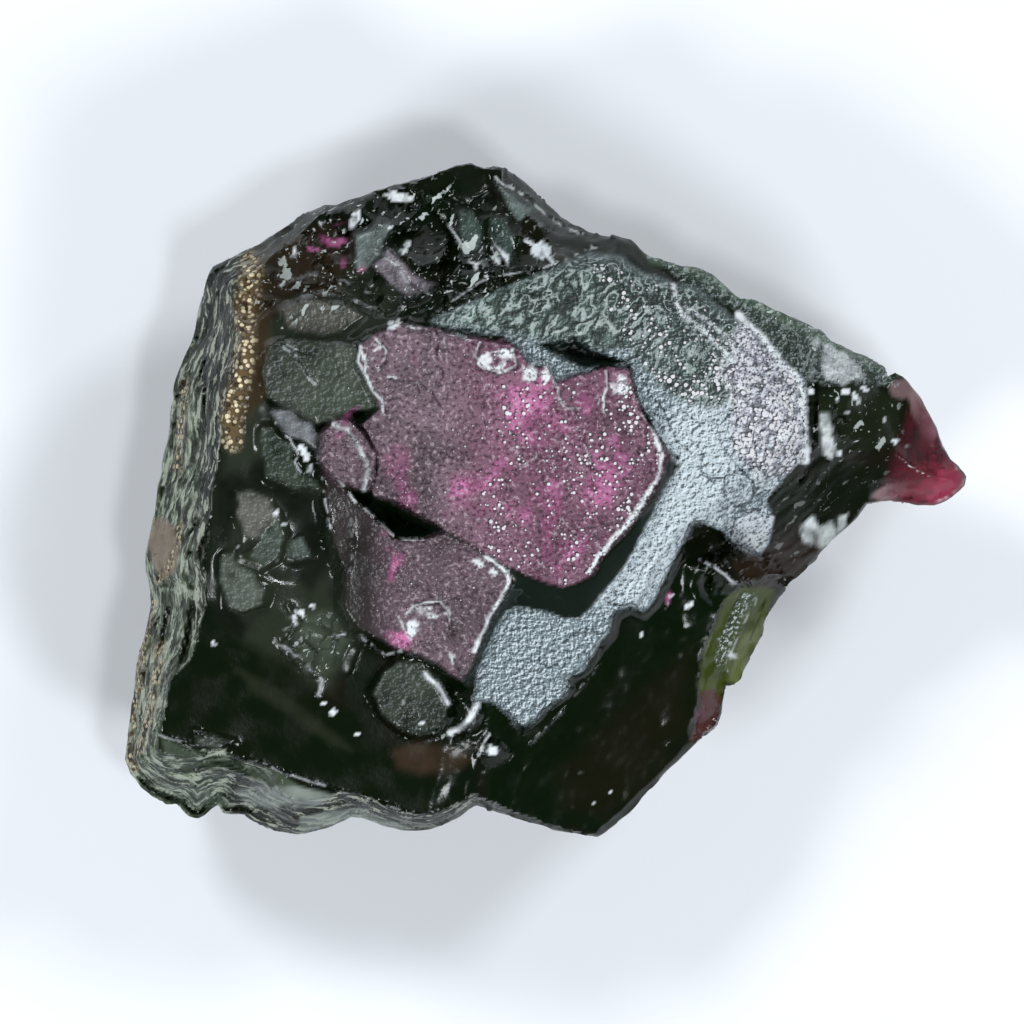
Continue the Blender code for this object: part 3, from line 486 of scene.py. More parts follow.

# A patch: column, row, half width, half height, turn and strength
# The pale patches are painted glints and highlights, partly pale crumbs
PALE_PATCHES = (
    (495, 360, 24, 13, 14, 0.9), (530, 374, 12, 9, 30, 0.7), (545, 376, 5, 8, 0, 0.8),
    (372, 352, 14, 12, 30, 0.35), (394, 326, 9, 4, 20, 1.0), (618, 384, 13, 14, 20, 0.6),
    (660, 468, 5, 12, 20, 0.5), (546, 303, 10, 10, 0, 0.5), (811, 391, 4, 5, 0, 1.0),
    (761, 475, 14, 6, 10, 0.6), (739, 484, 8, 7, 0, 0.5), (756, 541, 14, 9, 0, 0.9),
    (787, 440, 12, 22, 0, 0.6), (742, 400, 7, 22, 0, 0.6), (840, 453, 3, 5, 0, 0.8),
    (490, 751, 12, 7, -20, 0.9), (582, 772, 3, 2, 0, 0.8), (612, 792, 2, 2, 0, 0.6), (594, 803, 4, 2, 0, 0.8),
    (642, 635, 2, 3, 0, 0.6), (690, 605, 7, 4, 20, 0.6), (670, 601, 4, 9, 20, 0.5), (897, 441, 4, 3, 0, 0.9),
    (911, 445, 4, 3, 0, 0.7), (930, 448, 4, 3, 0, 0.5), (735, 665, 10, 20, 24, 0.35),
    (398, 196, 17, 6, -10, 0.9), (354, 218, 6, 14, -24, 0.8), (390, 222, 4, 10, 10, 0.7),
    (541, 251, 12, 11, 0, 1.0), (501, 259, 9, 8, 20, 0.7), (481, 266, 12, 5, 20, 0.7),
    (405, 247, 5, 10, -30, 0.7), (294, 253, 4, 9, 0, 0.5), (275, 515, 6, 3, 60, 0.5),
    (284, 527, 4, 7, 0, 0.5), (236, 545, 4, 3, 0, 0.7), (241, 556, 4, 8, -40, 0.5), (277, 562, 3, 2, 0, 0.8),
    (314, 606, 5, 4, 0, 0.8), (301, 613, 5, 5, 0, 0.8), (294, 619, 4, 7, 20, 0.8), (333, 713, 5, 5, 0, 0.7),
    (322, 703, 3, 2, 0, 0.7), (356, 734, 3, 3, 0, 0.7), (268, 672, 3, 3, 0, 0.6), (393, 755, 7, 3, -10, 0.5),
    (213, 643, 3, 5, 0, 0.8), (460, 722, 18, 8, -30, 0.5), (407, 667, 12, 5, 0, 0.6),
    (400, 702, 5, 4, 0, 0.5), (418, 722, 12, 4, 0, 0.35), (430, 612, 24, 8, 0, 0.5),
    (452, 632, 7, 16, -15, 0.6), (412, 628, 10, 12, 30, 0.4), (456, 662, 6, 10, 20, 0.5),
    (846, 392, 6, 4, 0, 0.9), (858, 398, 4, 6, 20, 0.8), (838, 400, 3, 5, 0, 0.7), (866, 388, 5, 3, -20, 0.8),
    (880, 396, 3, 4, 0, 0.6), (848, 412, 4, 3, 0, 0.6), (872, 412, 3, 4, 0, 0.5), (884, 420, 3, 3, 0, 0.6),
    (304, 452, 5, 12, 30, 0.7), (310, 470, 5, 8, 20, 0.7), (462, 552, 9, 3, -30, 0.6),
    (478, 562, 9, 4, -35, 0.6), (493, 572, 8, 5, -35, 0.7), (488, 600, 4, 10, -20, 0.5),
)
MAGENTA_PATCHES = (
    (530, 420, 50, 46, 20, 1.0), (622, 466, 30, 50, 0, 0.9), (593, 394, 16, 24, 0, 0.9),
    (575, 520, 56, 70, 20, 0.85), (500, 480, 70, 66, 10, 0.6), (402, 478, 13, 36, 8, 0.75),
    (423, 374, 9, 11, 0, 0.5), (392, 556, 9, 22, 0, 0.8), (408, 644, 16, 12, 0, 0.8),
    (352, 424, 26, 10, 30, 0.5), (322, 249, 7, 7, 0, 1.2), (339, 237, 5, 10, 30, 1.2),
    (349, 268, 4, 6, 0, 1.0), (370, 265, 8, 6, -30, 1.1), (395, 264, 12, 8, 0, 0.4),
    (672, 602, 6, 10, 10, 0.8), (770, 405, 22, 26, 0, 0.35), (705, 705, 10, 14, 0, 0.4),
)
MAUVE_PATCHES = ((345, 455, 30, 36, 0, 0.9), (765, 400, 40, 50, 0, 0.25))

# Where the thin end of the tip is painted brighter, as a glow of the light that shines through it
TIP_LIGHTS = ((940, 484, 26, 16, 30, 1.0), (926, 470, 12, 14, 30, 0.4))
TIP_GREYS = (
    (902, 388, 14, 12, 0, 0.55), (926, 420, 10, 44, 24, 0.8), (892, 492, 22, 9, 12, 1.0),
    (962, 482, 6, 12, 0, 0.8),
)

# Parts of the frosted layer: the rippled top, the dark speckled hollow and the bubbly right end
RIPPLED = [
    (425, 320), (455, 280), (560, 248), (610, 230), (690, 250), (745, 300), (735, 330), (700, 322),
    (676, 308), (650, 320), (636, 346), (600, 352), (540, 340), (480, 332),
]
DARK_HOLLOW = [
    (590, 262), (640, 244), (700, 262), (739, 312), (765, 345), (740, 350), (722, 366), (722, 378),
    (730, 398), (716, 408), (690, 402), (664, 388), (640, 366), (622, 340), (600, 300),
]
BUBBLY = [
    (735, 362), (728, 345), (742, 318), (752, 330), (772, 352), (786, 368), (800, 378), (808, 420),
    (811, 458), (795, 472), (770, 478), (745, 466), (728, 444), (733, 412), (726, 388), (724, 372),
]

# The brightest part of the frosted layer, painted lighter as a reflection of the light
STRIP = [(646, 440), (690, 400), (724, 410), (740, 470), (724, 520), (690, 545), (660, 590), (630, 605),
(596, 600),
         (630, 560), (660, 510), (676, 470)]

# The gold grains: bands along the crest and the foot of the left face, and the rim of the brown lump
GOLD_LINES = (
    Line([(250, 262), (247, 290), (244, 320), (246, 345), (242, 370), (234, 395), (231, 420), (233, 440)],
          24, 0, 1.0),
    Line([(184, 380), (180, 425), (176, 470)], 9, 0, 0.9),
    Line([(160, 645), (155, 680), (148, 720), (138, 752)], 11, 0, 0.8),
    Line([(178, 522), (178, 545), (168, 565), (156, 582)], 8, 0, 0.9),
    Line([(150, 604), (142, 640), (134, 690), (128, 740), (130, 770)], 12, 0, 0.8),
)
GOLD_GROUND = ((262, 350, 14, 60, 0, 0.8),)
TAN_LUMP = ((162, 548, 18, 36, 8, 1.0),)
BROWN_LUMP = ((753, 565, 22, 13, 0, 1.0),)
BROWN_PATCHES = (
    (870, 440, 40, 50, 0, 0.8), (780, 550, 50, 36, 0, 0.8), (290, 260, 70, 50, -20, 0.7),
    (250, 710, 110, 60, 20, 0.9), (620, 720, 120, 90, -40, 0.5),
)

# Colours of the surface, as the photograph shows them: red, green and blue from 0 to 255
BLACK_GREEN = (8, 19, 7)
BLACK_BROWN = (24, 20, 11)
PLATE_GREY = (60, 66, 57)
MAUVE = (106, 86, 96)
MAGENTA = (150, 74, 118)
HOT_PINK = (206, 124, 172)
ROSE_BLACK = (44, 30, 38)
FROST_RIPPLED = (78, 95, 88)
FROST_DARK = (52, 70, 62)
FROST_PALE = (116, 130, 136)
# The frosted layer's painted reflection of the light
FROST_STRIP = (182, 193, 200)
FROST_BUBBLY = (164, 162, 176)
SIDE_GREY = (110, 122, 103)
LUMP_BROWN = (70, 54, 40)
GOLD_BROWN = (112, 92, 64)
TAN = (140, 118, 100)
TIP_RED = (122, 34, 56)
# The tip's painted glow
TIP_BRIGHT = (184, 60, 98)
TIP_GREY = (168, 136, 140)
# Painted highlights along rims and in pale patches, partly pale chips and crumbs
CHIP_AND_HIGHLIGHT = (226, 230, 234)

# How far to the lower right of a drawn line its painted shade reaches, in pixels, and how pale a line can be
# and still be broken into short pieces
RIM_SHADE = 2.5
FAINT = 0.7

# Where parts of the photograph begin and end: columns, rows, or both
LEFT_FACE_END = 250
LEFT_FACE_GREY = 210
LOWER_FACE_TOP = 735
LOWER_FACE_END = 485
FROST_CORNER = (432, 317)
FROST_TOP = (618, 238)
FROST_LEFT = (478, 640)
FROST_TURN = 540
FROST_FOOT = 728
FROST_RIGHT = (700, 440)
FACET_CORNER = (505, 725)
FACET_LEVEL = 700
SMOOTH_GROUND = (470, 600)
ROSE_FOOT = 490
LOWER_PLATE_ROSY = 360
ROSE_GLOW = 430
ROSE_DARK = 600
DOTTED_FROM = (440, 350)
SPLINTER_START = 695
TIP_START = (880, 480)

# How far outlines stray, as waves: for broken rims, for wide folds and for the clouds of magenta
RIM_STRAY = ((14, 1.0), (6, 0.7))
WIDE_STRAY = ((40, 6.0), (14, 3.0))
PINK_STRAY = ((46, 16), (20, 7), (9, 3))


def smooth(t):
    """Rises from 0 to 1 with level ends."""
    t = np.clip(t, 0, 1)
    return t * t * (3 - 2 * t)


def uneven(x, y, waves, seed):
    """The sum of random waves, each a lattice of random values joined smoothly."""
    total = np.zeros_like(x)
    for turn, (size, height) in enumerate(waves):
        lattice = np.random.default_rng(seed + turn).uniform(-1, 1, (64, 64))
        u, v = x / size, y / size
        i, j = np.floor(u).astype(int), np.floor(v).astype(int)
        s, t = smooth(u - i), smooth(v - j)
        near = lattice[i % 64, j % 64] * (1 - s) + lattice[(i + 1) % 64, j % 64] * s
        far = lattice[i % 64, (j + 1) % 64] * (1 - s) + lattice[(i + 1) % 64, (j + 1) % 64] * s
        total += height * (near * (1 - t) + far * t)
    return total


def strayed(x, y, waves, seed):
    """Places moved by noise, so that an outline drawn through them is broken."""
    return x + uneven(x, y, waves, seed), y + uneven(x, y, waves, seed + 6)


def to_segment(ax, ay, bx, by, x, y):
    """The distance of (x, y) from the segment a-b."""
    ex, ey = bx - ax, by - ay
    along = np.clip(((x - ax) * ex + (y - ay) * ey) / (ex * ex + ey * ey), 0, 1)
    return np.hypot(x - ax - along * ex, y - ay - along * ey)


def distance(points, x, y):
    """How far (x, y) is from a closed outline, in pixels: above 0 inside it and below 0 outside."""
    least = np.full(x.shape, np.inf)
    inside = np.zeros(x.shape, bool)
    for (ax, ay), (bx, by) in zip(points, points[1:] + points[:1]):
        least = np.minimum(least, to_segment(ax, ay, bx, by, x, y))
        crosses = (ay > y) != (by > y)
        rise = by - ay if by != ay else 1
        inside ^= crosses & (x < ax + (y - ay) * (bx - ax) / rise)
    return np.where(inside, least, -least)


def from_line(points, x, y):
    """How far (x, y) is from an open line, in pixels."""
    pairs = zip(points, points[1:])
    return np.min([to_segment(*a, *b, x, y) for a, b in pairs], axis=0)


def plane(*corners):
    """A flat face through three points (column, row, height), as a function of the plan."""
    a, b, c = np.linalg.solve([(*corner[:2], 1) for corner in corners], [corner[2] for corner in corners])
    return lambda x, y: a * x + b * y + c


FROSTED_LAYER = plane((450, 310, 5.30), (690, 530, 4.82), (800, 420, 4.82))
BLACK_SLOPE = plane((300, 330, 5.36), (480, 740, 4.72), (200, 600, 4.86))
TOP_SLOPE = plane((262, 345, 5.22), (620, 256, 5.16), (480, 163, 3.95))
ROSE_TOP = plane((350, 400, 5.66), (650, 380, 5.26), (560, 580, 5.34))
LEFT_TOP = plane((270, 350, 5.52), (370, 350, 5.58), (300, 410, 5.46))
LENS_TOP = plane((325, 450, 5.56), (370, 450, 5.66), (350, 490, 5.52))
LOWER_TOP = plane((340, 500, 5.34), (500, 580, 5.26), (450, 670, 5.16))
ROUND_TOP = plane((380, 690, 4.98), (440, 690, 5.02), (415, 735, 4.90))
FACET_TOP = plane((525, 740, 4.30), (690, 530, 4.36), (650, 790, 3.12))
SPLINTER_TOP = plane((735, 590, 3.20), (700, 730, 2.70), (765, 630, 2.50))
TIP_TOP = plane((815, 420, 4.42), (900, 440, 3.98), (860, 510, 3.96))


def outline_points():
    return [point for stretch in OUTLINE for point in stretch.points]


def edge_values(x, y):
    """(rim, crest, face, undercut) near (x, y), each a smooth mean of the outline's own values."""
    rows = []
    for stretch in OUTLINE:
        share = np.linspace(0, 1, len(stretch.points))
        columns = []
        for value in stretch[1:]:
            value = np.atleast_1d(value)
            columns.append(np.interp(share, np.linspace(0, 1, len(value)), value))
        rows.append(np.stack(columns, axis=1))
    values = np.concatenate(rows)
    total, weights = np.zeros((4,) + x.shape), np.zeros(x.shape)
    for (px, py), own in zip(outline_points(), values):
        weight = 1 / ((x - px) ** 2 + (y - py) ** 2 + 4) ** 2
        weights += weight
        total += own.reshape((4,) + (1,) * x.ndim) * weight
    return total / weights


def step_to(height, x, y, outline, top, cliff):
    """Brings the height to that of the face top inside an outline, over a cliff of that width outside it."""
    share = np.clip(1 + distance(outline, x, y) / cliff, 0, 1)
    return height + (top(x, y) - height) * share


def ovals(x, y, rows):
    """For each oval, its last value, and 1 at its middle falling to 0 at its rim."""
    for column, row, half_width, half_height, turn, value in rows:
        c, s = np.cos(np.radians(turn)), np.sin(np.radians(turn))
        dx, dy = x - column, row - y
        u, v = (dx * c + dy * s) / half_width, (dy * c - dx * s) / half_height
        yield value, np.clip(1 - u * u - v * v, 0, 1)


def shards(x, y, size, tilt, seed):
    """Broken ground: each piece is a small flat face with a lean of its own, in mm."""
    x = x + uneven(x, y, ((size, 0.35 * size),), seed)
    y = y + uneven(x, y, ((size, 0.35 * size),), seed + 5)
    cells = 48
    rng = np.random.default_rng(seed)
    jitter = rng.uniform(-0.42, 0.42, (cells, cells, 2))
    lean = rng.uniform(-1, 1, (cells, cells, 3))
    i, j = np.floor(x / size).astype(int), np.floor(y / size).astype(int)
    nearest, height = np.full(x.shape, np.inf), np.zeros(x.shape)
    for di in (-1, 0, 1):
        for dj in (-1, 0, 1):
            a, b = (i + di) % cells, (j + dj) % cells
            dx = x - (i + di + 0.5 + jitter[a, b, 0]) * size
            dy = y - (j + dj + 0.5 + jitter[a, b, 1]) * size
            gap = np.hypot(dx, dy)
            own = tilt * (dx * lean[a, b, 0] + dy * lean[a, b, 1]) / size + 0.3 * tilt * lean[a, b, 2]
            height = np.where(gap < nearest, own, height)
            nearest = np.minimum(nearest, gap)
    return height


def plate_share(x, y):
    """1 on the growth plates and the frosted layer, which are smooth, and 0 on broken ground."""
    plates = (LEFT_PLATE, ROSE_PLATE, LENS_PLATE, LOWER_PLATE, ROUND_PLATE)
    inward = [distance(plate, x, y) for plate in plates]
    return smooth(np.max(inward, axis=0) / 4 + 0.5)


def frost_share(x, y):
    """1 on the frosted layer, where it isn't covered."""
    (left, foot), (right, top) = FROST_CORNER, FROST_TOP
    below = (x - left) * (top - foot) - (y - foot) * (right - left)
    inner = smooth(-below / 1500) * smooth((x - left + 4) / 8)
    edge = distance(outline_points(), x, y)
    facet = distance(DARK_FACET, x, y)
    tip = distance(TIP_BODY, x, y)
    covered = np.max([distance(plate, x, y) for plate in (ROSE_PLATE, LOWER_PLATE, ROUND_PLATE)], axis=0)
    lower = smooth((x - FROST_LEFT[0] + (y - FROST_LEFT[1]) * 0.1) / 6)
    open_ground = smooth(-covered / 3 - 0.5) * smooth(-facet / 3) * smooth(-tip / 3)
    open_ground *= smooth((edge - 16) / 14)
    return inner * np.where(y > FROST_TURN, lower, 1.0) * open_ground * smooth((FROST_FOOT - y) / 8)


def side_share(x, y, end):
    """1 at the striated left face, which ends at that column, and at the streaked lower one."""
    return smooth((end - x) / 30) + smooth((y - LOWER_FACE_TOP) / 20) * smooth((LOWER_FACE_END - x) / 20)


def broken_share(x, y):
    """1 where the ground is broken into shards, and 0 where it is smooth."""
    bare = np.clip(1 - plate_share(x, y) - frost_share(x, y), 0, 1)
    return bare * patches(x, y, BROKEN)


def set_facets(height, x, y):
    """Lays the small flat faces on the ground around them."""
    for facet in FACETS:
        middle_x, middle_y = np.mean(facet.points, axis=0)
        near = np.hypot(x - middle_x, y - middle_y)
        level = height[np.argsort(near)[:60]].mean() + facet.lift
        lean_x, lean_y = facet.lean

        def top(x, y):
            return level + lean_x * (x - middle_x) / 100 + lean_y * (y - middle_y) / 100

        height = step_to(height, x, y, facet.points, top, FACET_CLIFF)
    return height


def line_relief(x, y):
    """The height that the drawn lines add, in mm."""
    total = np.zeros_like(x)
    for line in LINES:
        near = np.clip(1 - from_line(line.points, x, y) / (0.5 * line.width), 0, 1)
        total += line.rise * smooth(near)
    return total * (0.7 + uneven(x, y, ((9, 0.5), (4, 0.4)), seed=173))


def broad_face(x, y):
    """The height of the stone's broad face, in mm, without its side faces."""
    wx, wy = strayed(x, y, WIDE_STRAY, seed=11)
    px, py = strayed(x, y, RIM_STRAY, seed=61)
    height = np.minimum(FROSTED_LAYER(x, y), BLACK_SLOPE(x, y))
    height = np.minimum(height, TOP_SLOPE(x, y))
    height = step_to(height, wx, wy, TIP_BODY, TIP_TOP, cliff=7)
    gentle = smooth((FACET_CORNER[0] - x) / 20) * smooth((y - FACET_CORNER[1]) / 20)
    height = step_to(height, px, py, DARK_FACET, FACET_TOP, 5 + 35 * gentle)
    height = step_to(height, wx, wy, SPLINTER, SPLINTER_TOP, cliff=5)
    facet = smooth(distance(DARK_FACET, x, y) / 8) * smooth((FACET_LEVEL - x) / 20)
    ground = smooth((SMOOTH_GROUND[0] - x) / 40) * smooth((y - SMOOTH_GROUND[1]) / 60)
    height += uneven(x, y, WAVES, seed=3) * (1 - 0.85 * np.maximum(facet, ground))
    height -= np.max([depth * share for depth, share in ovals(wx, wy, BREAKS)], axis=0)
    height += np.max([rise * np.sqrt(share) for rise, share in ovals(wx, wy, SWELLINGS)], axis=0)
    height = step_to(height, px, py, ROUND_PLATE, ROUND_TOP, cliff=7)
    height = step_to(height, px, py, LEFT_PLATE, LEFT_TOP, cliff=6)
    height = step_to(height, px, py, LOWER_PLATE, LOWER_TOP, cliff=12)
    height = step_to(height, px, py, LENS_PLATE, LENS_TOP, cliff=5)
    rose_cliff = 8 + 26 * smooth((y - ROSE_FOOT) / 70)
    height = step_to(height, px, py, ROSE_PLATE, ROSE_TOP, rose_cliff)
    for gap, depth in ((GASH, 0.55), (WEDGE, 0.50), (CRACK, 0.35)):
        within = distance(gap, px, py)
        height -= depth * (0.4 * smooth(within / 5 + 0.5) + 0.6 * smooth(within / 16))
    rough = broken_share(x, y)
    height += rough * (shards(x, y, 34, 0.22, 71) + shards(x, y, 15, 0.07, 83))
    height = set_facets(height, wx, wy)
    height += frost_share(x, y) * uneven(x, y, ((30, 0.010), (11, 0.004)), seed=97)
    height += plate_share(x, y) * uneven(x, y, ((36, 0.010), (12, 0.003)), seed=101)
    return height + line_relief(x, y)


def upper_surface(x, y):
    """The height of everything that shows from above, in mm."""
    rim, crest, face, _ = edge_values(x, y)
    inward = np.maximum(distance(outline_points(), x, y), 0)
    ripple = uneven(inward * LEDGE_STRETCH, x - y, LEDGE_WAVES, seed=29)
    ripple += shards(inward * 2.2, x + y, 26, 0.08, 103)
    ripple *= 0.04 + 0.96 * np.clip(side_share(x, y, LEFT_FACE_END), 0, 1)
    side = rim + (crest - rim) * inward / face + ripple * smooth(inward / 6)
    open_facet = smooth(distance(DARK_FACET, x, y) / 6) * smooth(-distance(SPLINTER, x, y) / 6)
    side += FACET_RISE * open_facet * smooth((inward - 6) / 12)
    return np.maximum(np.minimum(broad_face(x, y), side), rim)


def lower_surface(x, y):
    """The height of the underside, in mm: undercut sides that pass below 0, where the flat break is."""
    rim, _, _, undercut = edge_values(x, y)
    inward = np.maximum(distance(outline_points(), x, y), 0)
    slope = (rim - WALL) * (1 - inward / undercut)
    breaks = np.max([depth * share for depth, share in ovals(x, y, UNDERSIDE_BREAKS)], axis=0)
    slope += breaks * smooth(inward / 30)
    slope += uneven(x, y, UNDERSIDE_WAVES, seed=41) * smooth(inward / 30)
    slope += (shards(x, y, 40, 0.30, 109) + shards(x, y, 17, 0.12, 113)) * smooth(inward / 20)
    flat_break = 0.012 * smooth(uneven(x, y, ((40, 1.0), (16, 0.6)), seed=127))
    return np.clip(slope, flat_break, rim - WALL)


def trimmed_grid():
    """A level grid over the plan, in pixels, cut back to the outline, with its edge moved onto it."""
    margin = 2 * GRID_STEP
    wide, high = LAST_COLUMN - FIRST_COLUMN + 2 * margin, LAST_ROW - FIRST_ROW + 2 * margin
    grid = bmesh.new()
    bmesh.ops.create_grid(grid, x_segments=int(wide / GRID_STEP), y_segments=int(high / GRID_STEP), size=0.5)
    bmesh.ops.scale(grid, vec=(wide, high, 1), verts=grid.verts)
    bmesh.ops.translate(grid, vec=(MIDDLE_COLUMN, MIDDLE_ROW, 0), verts=grid.verts)
    middles = np.array([face.calc_center_median()[:2] for face in grid.faces])
    outside = distance(outline_points(), *middles.T) < 0
    spare = [face for face, out in zip(grid.faces, outside) if out]
    bmesh.ops.delete(grid, geom=spare, context="FACES")
    edge = [vertex for vertex in grid.verts if vertex.is_boundary]
    move_onto(edge, outline_points(), reach=2 * GRID_STEP)
    refine_along_lines(grid)
    return grid


def refine_along_lines(grid):
    """Halves the edges of the grid along the drawn lines, which are thinner than its squares."""
    middles = np.array([(edge.verts[0].co + edge.verts[1].co)[:2] for edge in grid.edges]) / 2
    near = np.min([from_line(line.points, *middles.T) for line in LINES], axis=0)
    close = [edge for edge, gap in zip(grid.edges, near) if gap < FINE_REACH and not edge.is_boundary]
    bmesh.ops.subdivide_edges(grid, edges=close, cuts=1, use_grid_fill=True)


def move_onto(vertices, outline, reach):
    """Moves the vertices within reach of an outline to the nearest point on it."""
    x, y = np.array([vertex.co[:2] for vertex in vertices]).T
    nearest, place = np.full(x.shape, np.inf), np.zeros((2,) + x.shape)
    for (ax, ay), (bx, by) in zip(outline, outline[1:] + outline[:1]):
        ex, ey = bx - ax, by - ay
        along = np.clip(((x - ax) * ex + (y - ay) * ey) / (ex * ex + ey * ey), 0, 1)
        found = np.array([ax + along * ex, ay + along * ey])
        gap = np.hypot(x - found[0], y - found[1])
        place = np.where(gap < nearest, found, place)
        nearest = np.minimum(nearest, gap)
    for vertex, gap, column, row in zip(vertices, nearest, *place):
        if gap < reach:
            vertex.co.x, vertex.co.y = column, row


def read_places(mesh):
    places = np.empty(len(mesh.vertices) * 3)
    mesh.vertices.foreach_get("co", places)
    return places.reshape(-1, 3)


def plan_of(places):
    """The columns and rows of the photograph that lie over these places."""
    return places[:, 0] / PIXEL + MIDDLE_COLUMN, MIDDLE_ROW - places[:, 1] / PIXEL


def place_vertices(mesh):
    """Gives the vertices their heights and turns the photograph's columns and rows into metres."""
    columns, rows, levels = read_places(mesh).T
    below = levels < 0
    heights = np.where(below, lower_surface(columns, rows), upper_surface(columns, rows))
    made = [(columns - MIDDLE_COLUMN) * PIXEL, (MIDDLE_ROW - rows) * PIXEL, heights * MILLIMETRE]
    mesh.vertices.foreach_set("co", np.stack(made, axis=1).ravel())
    return [int(index) for index in np.flatnonzero(below)]


def make_slab():
    """The closed mesh of the stone as an object: the upper grid, a copy of it below, and a wall between them.

    Its faces start out turned inwards, because rows count downwards, and place_vertices mirrors them.
    """
    grid = trimmed_grid()
    copied = bmesh.ops.extrude_face_region(grid, geom=list(grid.faces), use_keep_orig=True)["geom"]
    lower = [thing for thing in copied if isinstance(thing, bmesh.types.BMVert)]
    bmesh.ops.translate(grid, vec=(0, 0, -1), verts=lower)
    bmesh.ops.recalc_face_normals(grid, faces=grid.faces)
    bmesh.ops.reverse_faces(grid, faces=grid.faces)
    bmesh.ops.triangulate(grid, faces=grid.faces)
    mesh = bpy.data.meshes.new("painite_stone")
    grid.to_mesh(mesh)
    grid.free()
    below = place_vertices(mesh)
    stone = bpy.data.objects.new("painite_stone", mesh)
    bpy.context.scene.collection.objects.link(stone)
    thin_underside(stone, below)
    return stone


def apply_modifiers(thing):
    evaluated = thing.evaluated_get(bpy.context.evaluated_depsgraph_get())
    made = bpy.data.meshes.new_from_object(evaluated)
    thing.modifiers.clear()
    old = thing.data
    thing.data = made
    bpy.data.meshes.remove(old)


def thin_underside(stone, below):
    """Leaves fewer triangles on the underside, which is plainer."""
    group = stone.vertex_groups.new(name="underside")
    group.add(below, 1.0, "REPLACE")
    total = len(stone.data.polygons)
    fewer = stone.modifiers.new("fewer", "DECIMATE")
    fewer.ratio = (total / 2 + UNDERSIDE_TRIANGLES) / total
    fewer.vertex_group = "underside"
    apply_modifiers(stone)
    stone.vertex_groups.clear()


def split_long_edges(mesh):
    """Gives the steep side faces rows of their own, because the grid is only even in plan."""
    solid = bmesh.new()
    solid.from_mesh(mesh)
    longest = LONGEST_EDGE * MILLIMETRE
    for _ in range(2):
        long_edges = [
            edge for edge in solid.edges if edge.calc_length() > longest and min_height(edge) > LOWEST_SPLIT
        ]
        bmesh.ops.subdivide_edges(solid, edges=long_edges, cuts=1)
        bmesh.ops.triangulate(solid, faces=[face for face in solid.faces if len(face.verts) > 3])
    solid.to_mesh(mesh)
    solid.free()


def min_height(edge):
    return min(vertex.co.z for vertex in edge.verts)


def read_normals(mesh):
    normals = np.empty(len(mesh.vertices) * 3)
    mesh.vertices.foreach_get("normal", normals)
    return normals.reshape(-1, 3)


def roughen_sides(mesh):
    """Pushes the steep faces in and out along fine level ledges, which the plan's grid can't show."""
    places, normals = read_places(mesh), read_normals(mesh)
    steep = smooth((0.85 - np.abs(normals[:, 2])) / 0.5)
    raised = smooth(places[:, 2] / (0.3 * MILLIMETRE))
    push = np.zeros(len(places))
    for index in np.flatnonzero(steep * raised > 0.01):
        x, y, z = places[index] / MILLIMETRE
        ledges = noise.noise(Vector((x * 0.7, y * 0.7, z * 5.0)))
        grain = noise.noise(Vector((x * 4.0, y * 4.0, z * 12.0)))
        push[index] = 0.06 * ledges + 0.03 * grain
    moved = places + normals * (push * steep * raised * MILLIMETRE)[:, None]
    mesh.vertices.foreach_set("co", moved.ravel())


def linear(colour):
    """A colour from 0 to 255 as linear light."""
    value = np.array(colour) / 255
    return np.where(value <= 0.04045, value / 12.92, ((value + 0.055) / 1.055) ** 2.4)


def painted(under, colour, share):
    """Lays a colour over another where share is 1."""
    return under + (linear(colour) - under) * np.clip(share, 0, 1)[:, None]


def patches(x, y, rows):
    """The strongest of some soft patches at each place."""
    return np.max([strength * smooth(1.6 * share) for strength, share in ovals(x, y, rows)], axis=0)


def ragged_patches(x, y, rows, chance):
    """Patches with sharp, ragged rims."""
    share = patches(x, y, rows)
    return smooth((share + chance - 0.5) / 0.25) * smooth(4 * share)


def mist(x, y, rows):
    """Like patches, but fading towards the rims and clouded by noise."""
    cloud = uneven(x, y, ((34, 0.5), (14, 0.4), (6, 0.3)), 163)
    share = np.max([strength * np.sqrt(share) for strength, share in ovals(x, y, rows)], axis=0)
    return np.clip(1.35 * share - 0.35 + 0.75 * cloud, 0, 1) * smooth(3 * share)


def covered(tint, x, y, areas, patchy):
    """Paints areas one after another."""
    for area in areas:
        share = smooth(distance(area.points, x, y) / area.soft + 0.5) * area.cover
        tint = painted(tint, area.colour, share * (1 + 0.4 * patchy))
    return tint


def inside(x, y, areas):
    """1 inside any of the areas."""
    return smooth(np.max([distance(area.points, x, y) / area.soft for area in areas], axis=0) + 0.5)


def drawn(x, y, lines, share=0.34):
    """How pale the drawn lines are, where a line shows over that share of its width on each side."""
    shares = []
    for line in lines:
        near = np.clip(1.2 - from_line(line.points, x, y) / (share * line.width), 0, 1)
        shares.append(line.pale * smooth(near))
    return np.max(shares, axis=0)


